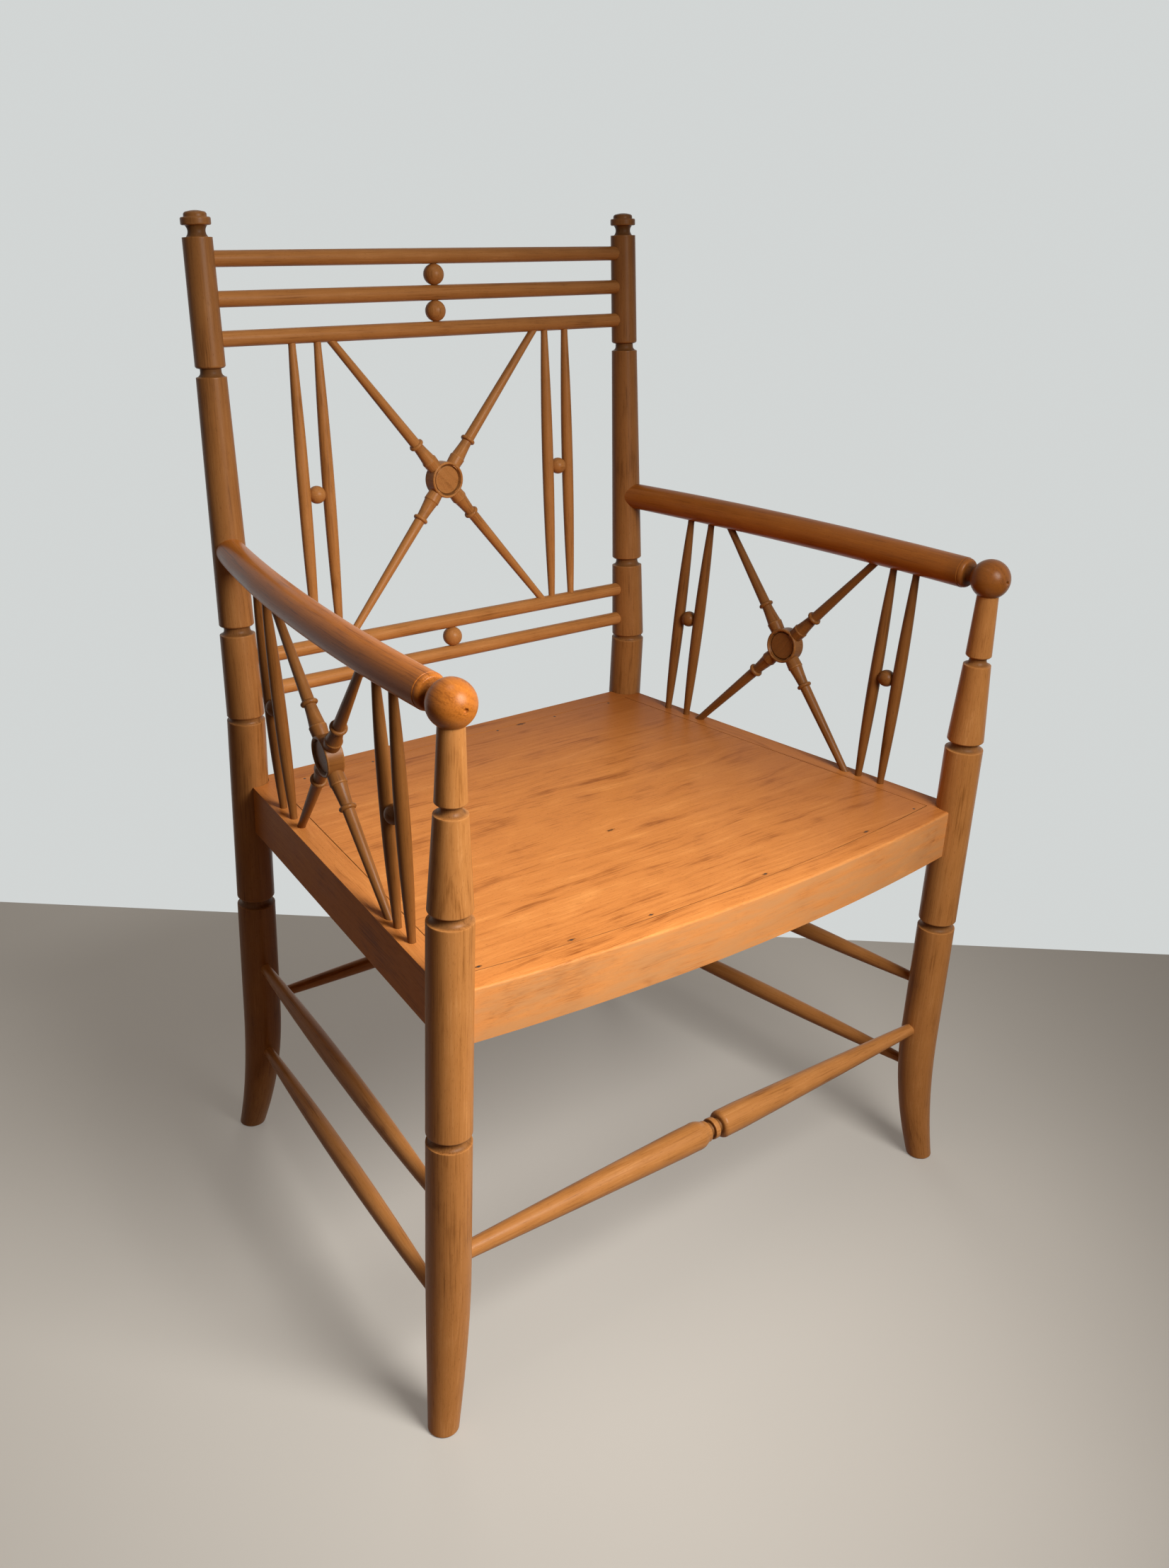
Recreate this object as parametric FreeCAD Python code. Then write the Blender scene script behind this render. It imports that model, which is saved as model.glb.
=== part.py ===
import FreeCAD, Part
import os
from math import asin, cos, degrees, hypot, pi, radians, sin, sqrt, tan

# Faux bamboo armchair in turned wood: grooved posts, spindle and cross panels, bow-front wooden seat.
# Millimetres, +Z up. The sitter faces -Y, and left means -X. Everything is first laid out with the front
# post axes at y = 0, then moved so that the origin is the middle of the footprint, on the floor.

V = FreeCAD.Vector
UP = V(0, 0, 1)
SIDES = {"left": -1, "right": 1}

# Stance: half distances between post axes, and the two post rows' distance
front_post_x = 307.0
back_post_x = 246.8
seat_depth = 445.0
seat_height = 427.0

# Heights above the seat's top
over_seat_groove_rise = 68.4
arm_groove_rise = 156.2
crest_groove_rise = 393.7
post_shoulder_rise = 507.8
arm_front_rise = 236.3
arm_back_rise = 231.8
lower_rail_rise = 90.8
lower_rail_pitch = 34.0
crest_rail_rise = 421.3
crest_rail_pitch = 34.25
under_seat_groove_drop = 133.0
back_lean = 5.71

# Posts: diameters at the lower and upper end of each bamboo segment
front_leg_segment = (38.8, 38.4)
front_seat_segment = (38.4, 37.6)
front_middle_segment = (36.0, 26.8)
front_top_segment = (25.2, 20.0)
back_leg_segment = (38.8, 38.4)
back_seat_segment = (37.8, 36.8)
back_rail_segment = (36.2, 33.8)
back_arm_segment = (33.2, 27.8)
back_crest_segment = (27.6, 26.7)

# Grooves between segments
groove_height = 9.4
groove_depth = 4.2
bend_groove_height = 5.4
bend_groove_depth = 2.0
groove_edge = 1.3

# Finial: a button with a rounded cap, on a coved neck that stands on the post's flat shoulder
finial_neck_diameter = 15.6
finial_cove_diameter = 20.0
finial_cove_height = 10.0
finial_disc_diameter = 26.6
finial_disc_height = 6.7
finial_disc_ease = 0.8
finial_cap_diameter = 20.4
finial_cap_wall = 1.8
finial_cap_round = 2.8
finial_crown_height = 1.1

# Feet: the last stretch thins; it curves outwards on the diagonal in front, mostly backwards at the back
foot_height = 160.0
front_foot_flare = 14.0
back_foot_splay = 6.0
back_foot_sweep = 27.0
foot_diameter = 27.4
foot_sections = 7

# Seat frame: each rail has a lip that shows and an inner ledge that carries the panel
rail_height = 49.0
rail_lip = 23.5
rail_ledge = 10.0
panel_thickness = 14.0
panel_gap = 0.2
front_bow = 21.5
front_rail_proud = 4.0
side_rail_proud = 3.0
back_rail_proud = 2.0
rail_arris = 2.0
tenon_setback = 3.0
tenon_thickness = 7.0
tenon_height = 30.0
tenon_depth = 10.0
corner_block_leg = 46.0
corner_block_height = 24.0
corner_block_lift = 8.0
brad_shank_diameter = 1.6
brad_head_diameter = 2.8
brad_head_height = 1.0
brad_bite = 9.0
brad_front_shares = (-0.97, -0.655, -0.355, 0.14, 0.67, 0.97)
brad_back_shares = (-0.9, -0.54, -0.18, 0.18, 0.54, 0.9)

# Armrests: bowed outwards, ending in a neck and a ball that sits on the front leg
arm_bow = 13.5
arm_diameter = 29.6
arm_back_diameter = 27.4
arm_ball_diameter = 38.0
arm_neck_diameter = 15.0
arm_neck_length = 4.0
arm_shoulder_length = 5.0
arm_shoulder_diameter = 25.0
arm_rim_step = 0.6
arm_tenon_diameter = 16.0
arm_tenon_depth = 11.0
arm_sections = 9
leg_tenon_diameter = 12.0
leg_tenon_depth = 15.0

# Back rails, beads and spindles
rail_diameter = 14.4
rail_swell = 0.4
rail_socket_depth = 9.5
rail_bead_diameter = 20.6
spindle_end_diameter = 7.2
spindle_middle_diameter = 12.4
spindle_bead_diameter = 17.4
spindle_pitch = 27.0
back_spindle_gap = 9.6
spindle_rail_depth = 5.0
spindle_arm_depth = 8.0
spindle_seat_depth = 13.0
bead_pin_diameter = 4.0
bead_pin_depth = 3.5

# Arm panels: places along the side, measured back from the front post axes
arm_panel_inset = 7.4
arm_front_pair_y = 95.8
arm_back_pair_y = 356.1
arm_cross_front_gap = 17.4
arm_cross_back_gap = 19.7
arm_hub_lift = 2.0

# Crosses and hubs
back_cross_half_span = 126.0
cross_end_diameter = 7.8
cross_shaft_diameter = 11.0
cross_ring_diameter = 15.6
cross_ring_width = 4.0
cross_ring_distance = 49.0
cross_waist_diameter = 10.6
cross_bell_diameter = 16.0
cross_bell_distance = 28.0
cross_bell_step = 0.8
cross_root_diameter = 14.4
cross_tenon_diameter = 9.0
cross_tenon_depth = 8.0
hub_diameter = 37.0
hub_thickness = 16.0
hub_rim = 2.2
hub_recess = 2.4
hub_bevel = 1.2

# Stretchers: heights above the floor, end and middle diameters
upper_side_stretcher_height = 218.5
lower_side_stretcher_height = 114.4
front_stretcher_height = 167.3
back_stretcher_height = 170.4
side_stretcher_end_diameter = 10.6
side_stretcher_middle_diameter = 18.4
back_stretcher_end_diameter = 10.6
back_stretcher_middle_diameter = 17.0
front_stretcher_end_diameters = (15.6, 13.0)
front_stretcher_swell_diameter = 27.0
front_stretcher_shoulder_diameter = 22.6
front_stretcher_nose_diameter = 20.0
front_swell_ends = (-46.0, 30.0)
front_band_place = -4.2
front_band_diameter = 21.0
front_band_width = 5.6
front_band_groove_diameter = 14.0
front_band_groove_width = 5.0
front_band_collar = 5.0
front_band_ease = 0.5
front_shoulder_length = 12.0
front_nose_length = 4.6
front_slim_pull = 0.54
front_round_pull = 0.7
stretcher_depth = 13.0

# Fits
joint_clearance = 0.1
end_gap = 0.5
scribe_gap = 0.15
entry_margin = 8.0
rod_lead = 4.0
fuse_overlap = 1.0

# Shape shares: how far a cove or a flare is pulled from its chord, and how deep rails reach beside a post
cove_pull = 0.3
groove_fillet = 1.6
flare_pull = 0.35
flare_reach = 0.585
rail_wrap = 0.6

# Values that follow from the sizes above
lean_tan = tan(radians(back_lean))
bend_z = seat_height + over_seat_groove_rise
arm_groove_z = seat_height + arm_groove_rise
crest_groove_z = seat_height + crest_groove_rise
under_groove_z = seat_height - under_seat_groove_drop
rail_bottom_z = seat_height - rail_height
crest_rail_z = [seat_height + crest_rail_rise + i * crest_rail_pitch for i in range(3)]
lower_rail_z = [seat_height + lower_rail_rise + i * lower_rail_pitch for i in range(2)]
rail_width = rail_lip + rail_ledge
arm_cross_front_y = arm_front_pair_y + spindle_pitch / 2 + arm_cross_front_gap
arm_cross_back_y = arm_back_pair_y - spindle_pitch / 2 - arm_cross_back_gap
arm_cross_y = (arm_cross_front_y + arm_cross_back_y) / 2
back_spindle_x = back_cross_half_span + back_spindle_gap + spindle_pitch / 2
bow_radius = (front_post_x ** 2 + front_bow ** 2) / (2 * front_bow)
bow_centre_y = bow_radius - front_rail_proud - front_bow

parts = {}
sockets = {}


def lathe(start, steps):
    """Turn an outline of (radius, height) steps about Z; a step of two points is an arc by the first."""
    edges = []
    here = V(start[0], 0, start[1])
    for step in steps:
        if isinstance(step[0], tuple):
            middle, end = [V(r, 0, z) for r, z in step]
            edges.append(Part.Arc(here, middle, end).toShape())
        else:
            end = V(step[0], 0, step[1])
            edges.append(Part.makeLine(here, end))
        here = end
    edges.append(Part.makeLine(here, V(start[0], 0, start[1])))
    return Part.Face(Part.Wire(edges)).revolve(V(0, 0, 0), UP, 360)


def placed(shape, origin, direction):
    """Move a shape turned about Z so that its axis starts at a point and runs along a direction."""
    shape.Placement = FreeCAD.Placement(origin, FreeCAD.Rotation(UP, direction))
    return shape


def add_socket(host, tip, outward, diameter, reach):
    """Note a blind round socket in a host, from a gap behind the tenon's tip out past its surface."""
    start = tip - outward * end_gap
    drill = Part.makeCylinder(diameter / 2 + joint_clearance, reach + end_gap, start, outward)
    sockets.setdefault(host, []).append(drill)


def prism(points, bottom, height):
    """Extrude a plan polygon upwards."""
    corners = [V(x, y, bottom) for x, y in points]
    return Part.Face(Part.makePolygon(corners + corners[:1])).extrude(V(0, 0, height))


def groove(height, below, above, depth, tall):
    """Outline steps of a groove, from the lower segment's crisp rim to the upper segment's eased edge."""
    neck = min(below, above) - depth
    rim = height - tall / 2
    lip = height + tall / 2
    cove = (neck + cove_pull * (below - neck), rim + cove_pull * (height - rim))
    edge = min(groove_edge, depth / 2)
    return [(below, rim), (cove, (neck, height)), (neck, lip - groove_fillet * edge),
            (above - edge, lip - edge), (above, lip)]


def foot_share(z):
    """Share of a foot's full flare at a height above the floor."""
    return (1 - z / foot_height) ** 2 if z < foot_height else 0.0


def front_axis(side, z):
    """Point on a front leg's axis."""
    flare = front_foot_flare * foot_share(z)
    return V(side * (front_post_x + flare), -flare, z)


def back_axis(side, z):
    """Point on a back post's axis, which sweeps back at the foot and leans back above its bend."""
    splay = back_foot_splay * foot_share(z)
    sweep = back_foot_sweep * foot_share(z)
    lean = lean_tan * max(0.0, z - bend_z)
    return V(side * (back_post_x + splay), seat_depth + sweep + lean, z)


def back_plane(x, z):
    """Point in the leaning plane that holds the back's rails, spindles and cross."""
    return V(x, back_axis(1, z).y, z)


def lean_height(z):
    """Distance from the bend to a height, measured along the leaning post."""
    return (z - bend_z) / cos(radians(back_lean))


def foot(axis, side, leg_diameter):
    """Curved, thinning foot as a loft through level circles."""
    rings = []
    for i in range(foot_sections):
        share = i / (foot_sections - 1)
        centre = axis(side, share * foot_height)
        radius = (foot_diameter + (leg_diameter - foot_diameter) * sin(share * pi / 2)) / 2
        rings.append(Part.Wire(Part.makeCircle(radius, centre, UP)))
    return Part.makeLoft(rings, True, False)


def leg_radius(z, segment):
    """Radius of a leg's lowest segment at a height."""
    if z < foot_height:
        return (foot_diameter + (segment[0] - foot_diameter) * sin(z / foot_height * pi / 2)) / 2
    return segment_radius(z, foot_height, under_groove_z, segment)


def segment_radius(z, low, high, segment):
    """Radius of a tapered segment at a height between its ends."""
    return (segment[0] + (segment[1] - segment[0]) * (z - low) / (high - low)) / 2


def build_front_leg(name, side):
    """Front leg: foot, three grooves, and a tenon up into the armrest's ball."""
    ball = arm_axis(side, 0.0)
    leg_ends, seat_ends, middle_ends, top_ends = [[d / 2 for d in s] for s in (
        front_leg_segment, front_seat_segment, front_middle_segment, front_top_segment)]
    top = ball.z - arm_neck_diameter / 2
    steps = [(leg_ends[0], foot_height)]
    steps += groove(under_groove_z, leg_ends[1], seat_ends[0], groove_depth, groove_height)
    steps += groove(bend_z, seat_ends[1], middle_ends[0], groove_depth, groove_height)
    steps += groove(arm_groove_z, middle_ends[1], top_ends[0], groove_depth, groove_height)
    steps += [(top_ends[1], top), (0, top)]
    leg = lathe((0, foot_height), steps)
    leg.translate(V(side * front_post_x, 0, 0))
    cup = Part.makeSphere(arm_ball_diameter / 2 + scribe_gap, ball)
    tip = ball - UP * (arm_ball_diameter / 2 - leg_tenon_depth)
    tenon_start = ball - UP * (arm_ball_diameter / 2 + entry_margin)
    tenon = Part.makeCylinder(leg_tenon_diameter / 2, (tip - tenon_start).Length, tenon_start, UP)
    leg = leg.cut(cup).fuse([tenon, foot(front_axis, side, front_leg_segment[0])])
    parts[name] = leg
    reach = leg_tenon_depth + entry_margin
    add_socket("armrest_" + name.split("_")[-1], tip, UP * -1, leg_tenon_diameter, reach)


def build_back_post(name, side):
    """Back post: curved foot, upright to the groove over the seat, then leaning back to its finial."""
    leg, seat, rail, arm, crest = [[d / 2 for d in s] for s in (
        back_leg_segment, back_seat_segment, back_rail_segment, back_arm_segment, back_crest_segment)]
    bend = groove(0.0, seat[1], rail[0], bend_groove_depth, bend_groove_height)
    neck = bend[1][1]
    steps = [(leg[0], foot_height)]
    steps += groove(under_groove_z, leg[1], seat[0], groove_depth, groove_height)
    steps += [(seat[1], bend_z + bend[0][1])]
    steps += [((bend[1][0][0], bend_z + bend[1][0][1]), (neck[0], bend_z)), (0, bend_z)]
    lower = lathe((0, foot_height), steps)
    lower.translate(V(side * back_post_x, seat_depth, 0))
    overlap = bend_groove_height / 4
    shoulder = lean_height(seat_height + post_shoulder_rise)
    steps = [(neck[0], -overlap)] + bend[2:]
    steps += groove(lean_height(arm_groove_z), rail[1], arm[0], groove_depth, groove_height)
    steps += groove(lean_height(crest_groove_z), arm[1], crest[0], groove_depth, groove_height)
    steps += [(crest[1], shoulder)] + finial(shoulder)
    upper = lathe((0, -overlap), steps)
    placed(upper, back_axis(side, bend_z), V(0, lean_tan, 1))
    parts[name] = upper.fuse([lower, foot(back_axis, side, back_leg_segment[0])])


def finial(shoulder):
    """Outline steps of the button finial above a post's shoulder."""
    neck = finial_neck_diameter / 2
    cove = finial_cove_diameter / 2
    disc = finial_disc_diameter / 2
    cap = finial_cap_diameter / 2
    crown = cap - finial_cap_round
    disc_z = shoulder + finial_cove_height
    cap_z = disc_z + finial_disc_height
    wall_z = cap_z + finial_cap_wall
    crown_z = wall_z + finial_cap_round
    ease = finial_disc_ease
    half_round = finial_cap_round * sqrt(0.5)
    top = crown_z + finial_crown_height
    crown_radius = (crown ** 2 + finial_crown_height ** 2) / (2 * finial_crown_height)
    half_angle = asin(crown / crown_radius) / 2
    bulge = (crown_radius * sin(half_angle), top - crown_radius * (1 - cos(half_angle)))
    return [(cove, shoulder), ((neck, (shoulder + disc_z) / 2), (cove, disc_z)), (disc - ease, disc_z),
            (disc, disc_z + ease), (disc, cap_z - ease), (disc - ease, cap_z), (cap, cap_z), (cap, wall_z),
            ((crown + half_round, wall_z + half_round), (crown, crown_z)), (bulge, (0, top))]


def arm_axis(side, share):
    """Point on an armrest's axis: 0 at the ball's centre, 1 on the back post's axis; bowed outwards."""
    front = V(front_post_x, 0, seat_height + arm_front_rise)
    back = back_axis(1, seat_height + arm_back_rise)
    outward = V(back.y - front.y, front.x - back.x, 0).normalize()
    point = front + (back - front) * share + outward * (4 * arm_bow * share * (1 - share))
    return V(side * point.x, point.y, point.z)


def arm_direction(side, share):
    """Unit vector along an armrest's axis, towards the back."""
    step = 0.001
    return (arm_axis(side, share + step) - arm_axis(side, share - step)).normalize()


def arm_share(y):
    """Share of an armrest's length at a distance behind the front posts."""
    return y / arm_axis(1, 1.0).y


def build_armrest(name, side):
    """Armrest: bowed bar scribed and tenoned to the back post, with a turned neck and ball at its front."""
    length = (arm_axis(side, 1.0) - arm_axis(side, 0.0)).Length
    ball_radius = arm_ball_diameter / 2
    neck_end = sqrt(ball_radius ** 2 - (arm_neck_diameter / 2) ** 2) + arm_neck_length
    first = (neck_end + arm_shoulder_length) / length
    rings = []
    for i in range(arm_sections):
        share = first + (1 - first) * i / (arm_sections - 1)
        taper = max(0.0, 2 * share - 1) ** 2
        radius = (arm_diameter + (arm_back_diameter - arm_diameter) * taper) / 2
        rings.append(Part.Wire(Part.makeCircle(radius, arm_axis(side, share), arm_direction(side, share))))
    bar = Part.makeLoft(rings, True, False)
    start = arm_axis(side, first)
    forward = (arm_axis(side, 0.0) - start).normalize()
    shoulder = arm_shoulder_diameter / 2
    neck = arm_neck_diameter / 2
    rim = arm_diameter / 2 - arm_rim_step
    neck_tip = arm_shoulder_length + arm_neck_length + ball_radius / 2
    turning = lathe((0, -fuse_overlap), [(rim, -fuse_overlap), (rim, 0), (shoulder, arm_shoulder_length),
                                         (neck, arm_shoulder_length + arm_rim_step), (neck, neck_tip),
                                         (0, neck_tip)])
    placed(turning, start, forward)
    ball = Part.makeSphere(ball_radius, arm_axis(side, 0.0))
    low = arm_groove_z + groove_height / 2
    high = crest_groove_z - groove_height / 2
    post = Part.makeCone(back_arm_segment[0] / 2 + scribe_gap, back_arm_segment[1] / 2 + scribe_gap,
                         lean_height(high) - lean_height(low))
    placed(post, back_axis(side, low), V(0, lean_tan, 1))
    inward = arm_direction(side, 1.0)
    post_radius = segment_radius(seat_height + arm_back_rise, low, high, back_arm_segment)
    tip = arm_axis(side, 1.0) - inward * (post_radius - arm_tenon_depth)
    reach = arm_tenon_depth + entry_margin
    tenon = Part.makeCylinder(arm_tenon_diameter / 2, reach, tip, inward * -1)
    parts[name] = bar.cut(post).fuse([turning, ball, tenon])
    add_socket("back_post_" + name.split("_")[-1], tip, inward * -1, arm_tenon_diameter, reach)


def swelled_rod(length, end_diameter, middle_diameter, lead_in, lead_out):
    """Rod along Z with straight ends for its sockets and a smooth swell between them."""
    end = end_diameter / 2
    middle = (middle_diameter / 2, (lead_in + length - lead_out) / 2)
    swell = (middle, (end, length - lead_out))
    return lathe((0, 0), [(end, 0), (end, lead_in), swell, (end, length), (0, length)])


def join(name, start, end, depths, end_diameter, middle_diameter, hosts):
    """Swelled rod between two points on its hosts' surfaces, let into each by its depth."""
    axis = (end - start).normalize()
    first = start - axis * depths[0]
    last = end + axis * depths[1]
    rod = swelled_rod((last - first).Length, end_diameter, middle_diameter,
                      depths[0] + rod_lead, depths[1] + rod_lead)
    parts[name] = placed(rod, first, axis)
    add_socket(hosts[0], first, axis, end_diameter, depths[0] + entry_margin)
    add_socket(hosts[1], last, axis * -1, end_diameter, depths[1] + entry_margin)


def build_bead(name, centre, across, spacing, neighbour_diameter, diameter, bars, hosts):
    """Ball glued between two parallel bars, hollowed to fit them and pinned into both."""
    ball = Part.makeSphere(diameter / 2, centre)
    for bar_axis, sign in zip(bars, (-1, 1)):
        start = centre + across * (sign * spacing / 2) - bar_axis * diameter
        bar = Part.makeCylinder(neighbour_diameter / 2 + scribe_gap, 2 * diameter, start, bar_axis)
        ball = ball.cut(bar)
    pin_half = spacing / 2 - neighbour_diameter / 2 + bead_pin_depth
    pin = Part.makeCylinder(bead_pin_diameter / 2, 2 * pin_half, centre - across * pin_half, across)
    parts[name] = ball.fuse(pin)
    for host, sign in zip(hosts, (-1, 1)):
        tip = centre + across * (sign * pin_half)
        add_socket(host, tip, across * -sign, bead_pin_diameter, bead_pin_depth + diameter / 4)


def build_hub(name, centre, normal):
    """Hub: a short drum with a sunken disc inside a rim on both faces."""
    radius = hub_diameter / 2
    half = hub_thickness / 2
    dish = radius - hub_rim
    floor = dish - hub_bevel
    edge = hub_rim / 3
    drum = lathe((0, hub_recess - half), [
        (floor, hub_recess - half), (dish, -half), (radius - edge, -half), (radius, edge - half),
        (radius, half - edge), (radius - edge, half), (dish, half), (floor, half - hub_recess),
        (0, half - hub_recess)])
    parts[name] = placed(drum, centre, normal)


def build_cross_arm(name, hub, hub_axis, centre, tip, depth, host):
    """Turned cross arm: tenon and bell at the hub, a ring, then a thin tapering shaft let into its host."""
    axis = tip - centre
    length = axis.Length
    axis.normalize()
    end = cross_end_diameter / 2
    bell = cross_bell_diameter / 2
    waist = cross_waist_diameter / 2
    ring_in = cross_ring_distance - cross_ring_width / 2
    ring_out = cross_ring_distance + cross_ring_width / 2
    root = (hub_diameter - cross_root_diameter / 2) / 2
    flare = (waist + flare_pull * (bell - waist), ring_in + flare_reach * (cross_bell_distance - ring_in))
    ring = ((cross_ring_diameter / 2, cross_ring_distance), (cross_shaft_diameter / 2, ring_out))
    body = lathe((0, root), [(cross_root_diameter / 2, root), (bell, cross_bell_distance - cross_bell_step),
                             (bell - cross_bell_step, cross_bell_distance), (flare, (waist, ring_in)), ring,
                             (end, length - depth - entry_margin), (end, length), (0, length)])
    placed(body, centre, axis)
    tenon_start = hub_diameter / 2 - cross_tenon_depth
    tenon_base = centre + axis * tenon_start
    tenon = Part.makeCylinder(cross_tenon_diameter / 2, cross_bell_distance - tenon_start, tenon_base, axis)
    drum_base = centre - hub_axis * hub_thickness
    drum = Part.makeCylinder(hub_diameter / 2 + scribe_gap, 2 * hub_thickness, drum_base, hub_axis)
    parts[name] = body.cut(drum).fuse(tenon)
    add_socket(hub, tenon_base, axis, cross_tenon_diameter, cross_tenon_depth + entry_margin)
    add_socket(host, tip, axis * -1, cross_end_diameter, depth + entry_margin)


def build_back():
    """Back: crest rails and lower rails between the posts, with their beads, spindles, cross and hub."""
    crest_names = ["crest_rail_bottom", "crest_rail_middle", "crest_rail_top"]
    lower_names = ["back_rail_lower", "back_rail_upper"]
    crest_ends = (crest_groove_z, seat_height + post_shoulder_rise, back_crest_segment)
    lower_ends = (bend_z, arm_groove_z, back_rail_segment)
    for names, heights, (low, high, segment) in ((crest_names, crest_rail_z, crest_ends),
                                                 (lower_names, lower_rail_z, lower_ends)):
        for name, z in zip(names, heights):
            reach = back_post_x - segment_radius(z, low, high, segment)
            join(name, back_plane(-reach, z), back_plane(reach, z), (rail_socket_depth, rail_socket_depth),
                 rail_diameter, rail_diameter + rail_swell, ("back_post_left", "back_post_right"))
    slope = V(0, lean_tan, 1).normalize()
    along = V(1, 0, 0)
    for name, low, high, z, pitch in (("crest_bead_upper", "crest_rail_middle", "crest_rail_top",
                                       crest_rail_z[1], crest_rail_pitch),
                                      ("crest_bead_lower", "crest_rail_bottom", "crest_rail_middle",
                                       crest_rail_z[0], crest_rail_pitch),
                                      ("back_rail_bead", "back_rail_lower", "back_rail_upper",
                                       lower_rail_z[0], lower_rail_pitch)):
        build_bead(name, back_plane(0, z + pitch / 2), slope, pitch / cos(radians(back_lean)),
                   rail_diameter + rail_swell, rail_bead_diameter, (along, along), (low, high))
    low = lower_rail_z[1]
    high = crest_rail_z[0]
    radius = rail_diameter / 2
    middle = (low + high) / 2
    for side_name, side in SIDES.items():
        pair = []
        for place, sign in (("inner", -1), ("outer", 1)):
            x = side * (back_spindle_x + sign * spindle_pitch / 2)
            name = "back_spindle_%s_%s" % (side_name, place)
            join(name, back_plane(x, low) + slope * radius, back_plane(x, high) - slope * radius,
                 (spindle_rail_depth, spindle_rail_depth), spindle_end_diameter, spindle_middle_diameter,
                 ("back_rail_upper", "crest_rail_bottom"))
            pair.append(name)
        build_bead("back_spindle_bead_" + side_name, back_plane(side * back_spindle_x, middle),
                   V(side, 0, 0), spindle_pitch, spindle_middle_diameter, spindle_bead_diameter,
                   (slope, slope), pair)
    centre = back_plane(0, middle)
    normal = V(0, -1, lean_tan).normalize()
    build_hub("back_hub", centre, normal)
    for level, z, host in (("upper", high, "crest_rail_bottom"), ("lower", low, "back_rail_upper")):
        for side_name, side in SIDES.items():
            target = back_plane(side * back_cross_half_span, z)
            axis = (target - centre).normalize()
            slant = radius / abs(axis.dot(slope))
            surface = target - axis * slant
            build_cross_arm("back_cross_%s_%s" % (level, side_name), "back_hub", normal, centre,
                            surface + axis * spindle_rail_depth, spindle_rail_depth, host)


def side_line(side, y, inset):
    """Point at the seat's top on the line through the two post axes, moved inwards by an inset."""
    x = front_post_x + (back_post_x - front_post_x) * y / seat_depth
    skew = hypot(seat_depth, front_post_x - back_post_x) / seat_depth
    return V(side * (x - inset * skew), y, seat_height)


def build_arm_panel(side_name, side):
    """Arm panel: pairs of spindles with beads, and a cross with its hub, between seat rail and armrest."""
    rail = side_name + "_seat_rail"
    armrest = "armrest_" + side_name
    for pair_name, pair_y in (("front", arm_front_pair_y), ("back", arm_back_pair_y)):
        names, feet, heads = [], [], []
        for place, sign in (("front", -1), ("back", 1)):
            y = pair_y + sign * spindle_pitch / 2
            feet.append(side_line(side, y, arm_panel_inset))
            crown = arm_axis(side, arm_share(y))
            heads.append(crown - (crown - feet[-1]).normalize() * (arm_diameter / 2))
            names.append("arm_spindle_%s_%s_%s" % (side_name, pair_name, place))
            join(names[-1], feet[-1], heads[-1], (spindle_seat_depth, spindle_arm_depth),
                 spindle_end_diameter, spindle_middle_diameter, (rail, armrest))
        middles = [(a + b) * 0.5 for a, b in zip(feet, heads)]
        axes = [(b - a).normalize() for a, b in zip(feet, heads)]
        gap = middles[1] - middles[0]
        build_bead("arm_bead_%s_%s" % (side_name, pair_name), (middles[0] + middles[1]) * 0.5,
                   V(gap.x, gap.y, gap.z).normalize(), gap.Length, spindle_middle_diameter,
                   spindle_bead_diameter, axes, names)
    foot_point = side_line(side, arm_cross_y, arm_panel_inset)
    crown = arm_axis(side, arm_share(arm_cross_y))
    rise = (crown - foot_point).normalize()
    centre = (foot_point + crown - rise * (arm_diameter / 2)) * 0.5 + rise * arm_hub_lift
    back_foot = side_line(side, arm_cross_back_y, arm_panel_inset)
    normal = (back_foot - foot_point).cross(rise).normalize()
    build_hub("arm_hub_" + side_name, centre, normal)
    for place, y in (("front", arm_cross_front_y), ("back", arm_cross_back_y)):
        crown = arm_axis(side, arm_share(y))
        seat_point = side_line(side, y, arm_panel_inset)
        head = crown - UP * (arm_diameter / 2 - spindle_arm_depth)
        sunk = seat_point + (seat_point - centre).normalize() * spindle_seat_depth
        for level, tip, depth, host in (("upper", head, 2 * spindle_arm_depth, armrest),
                                        ("lower", sunk, spindle_seat_depth, rail)):
            build_cross_arm("arm_cross_%s_%s_%s" % (side_name, level, place), "arm_hub_" + side_name,
                            normal, centre, tip, depth, host)


def bow_y(x, inset):
    """Y of the front rail's curved face, or of a curve parallel to it further in, at an x."""
    return bow_centre_y - sqrt((bow_radius - inset) ** 2 - x ** 2)


def bow_band(outer, inner, reach, bottom, height):
    """Curved bar between two curves parallel to the front rail's face."""
    turns = ((outer, -1), (outer, 1), (inner, 1), (inner, -1))
    corners = [V(sign * reach, bow_y(reach, inset), bottom) for inset, sign in turns]
    edges = [Part.Arc(corners[0], V(0, bow_y(0, outer), bottom), corners[1]).toShape(),
             Part.makeLine(corners[1], corners[2]),
             Part.Arc(corners[2], V(0, bow_y(0, inner), bottom), corners[3]).toShape(),
             Part.makeLine(corners[3], corners[0])]
    return Part.Face(Part.Wire(edges)).extrude(V(0, 0, height))


def cross_bar(reach, near, far, bottom, height):
    """Straight bar across the chair, from side to side, between two distances from the front posts."""
    return prism([(-reach, near), (reach, near), (reach, far), (-reach, far)], bottom, height)


def front_radius():
    """Radius of a front leg where the seat rails meet it."""
    return max(front_seat_segment) / 2


def back_radius():
    """Radius of a back post where the seat rails meet it."""
    return max(back_seat_segment) / 2


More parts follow.
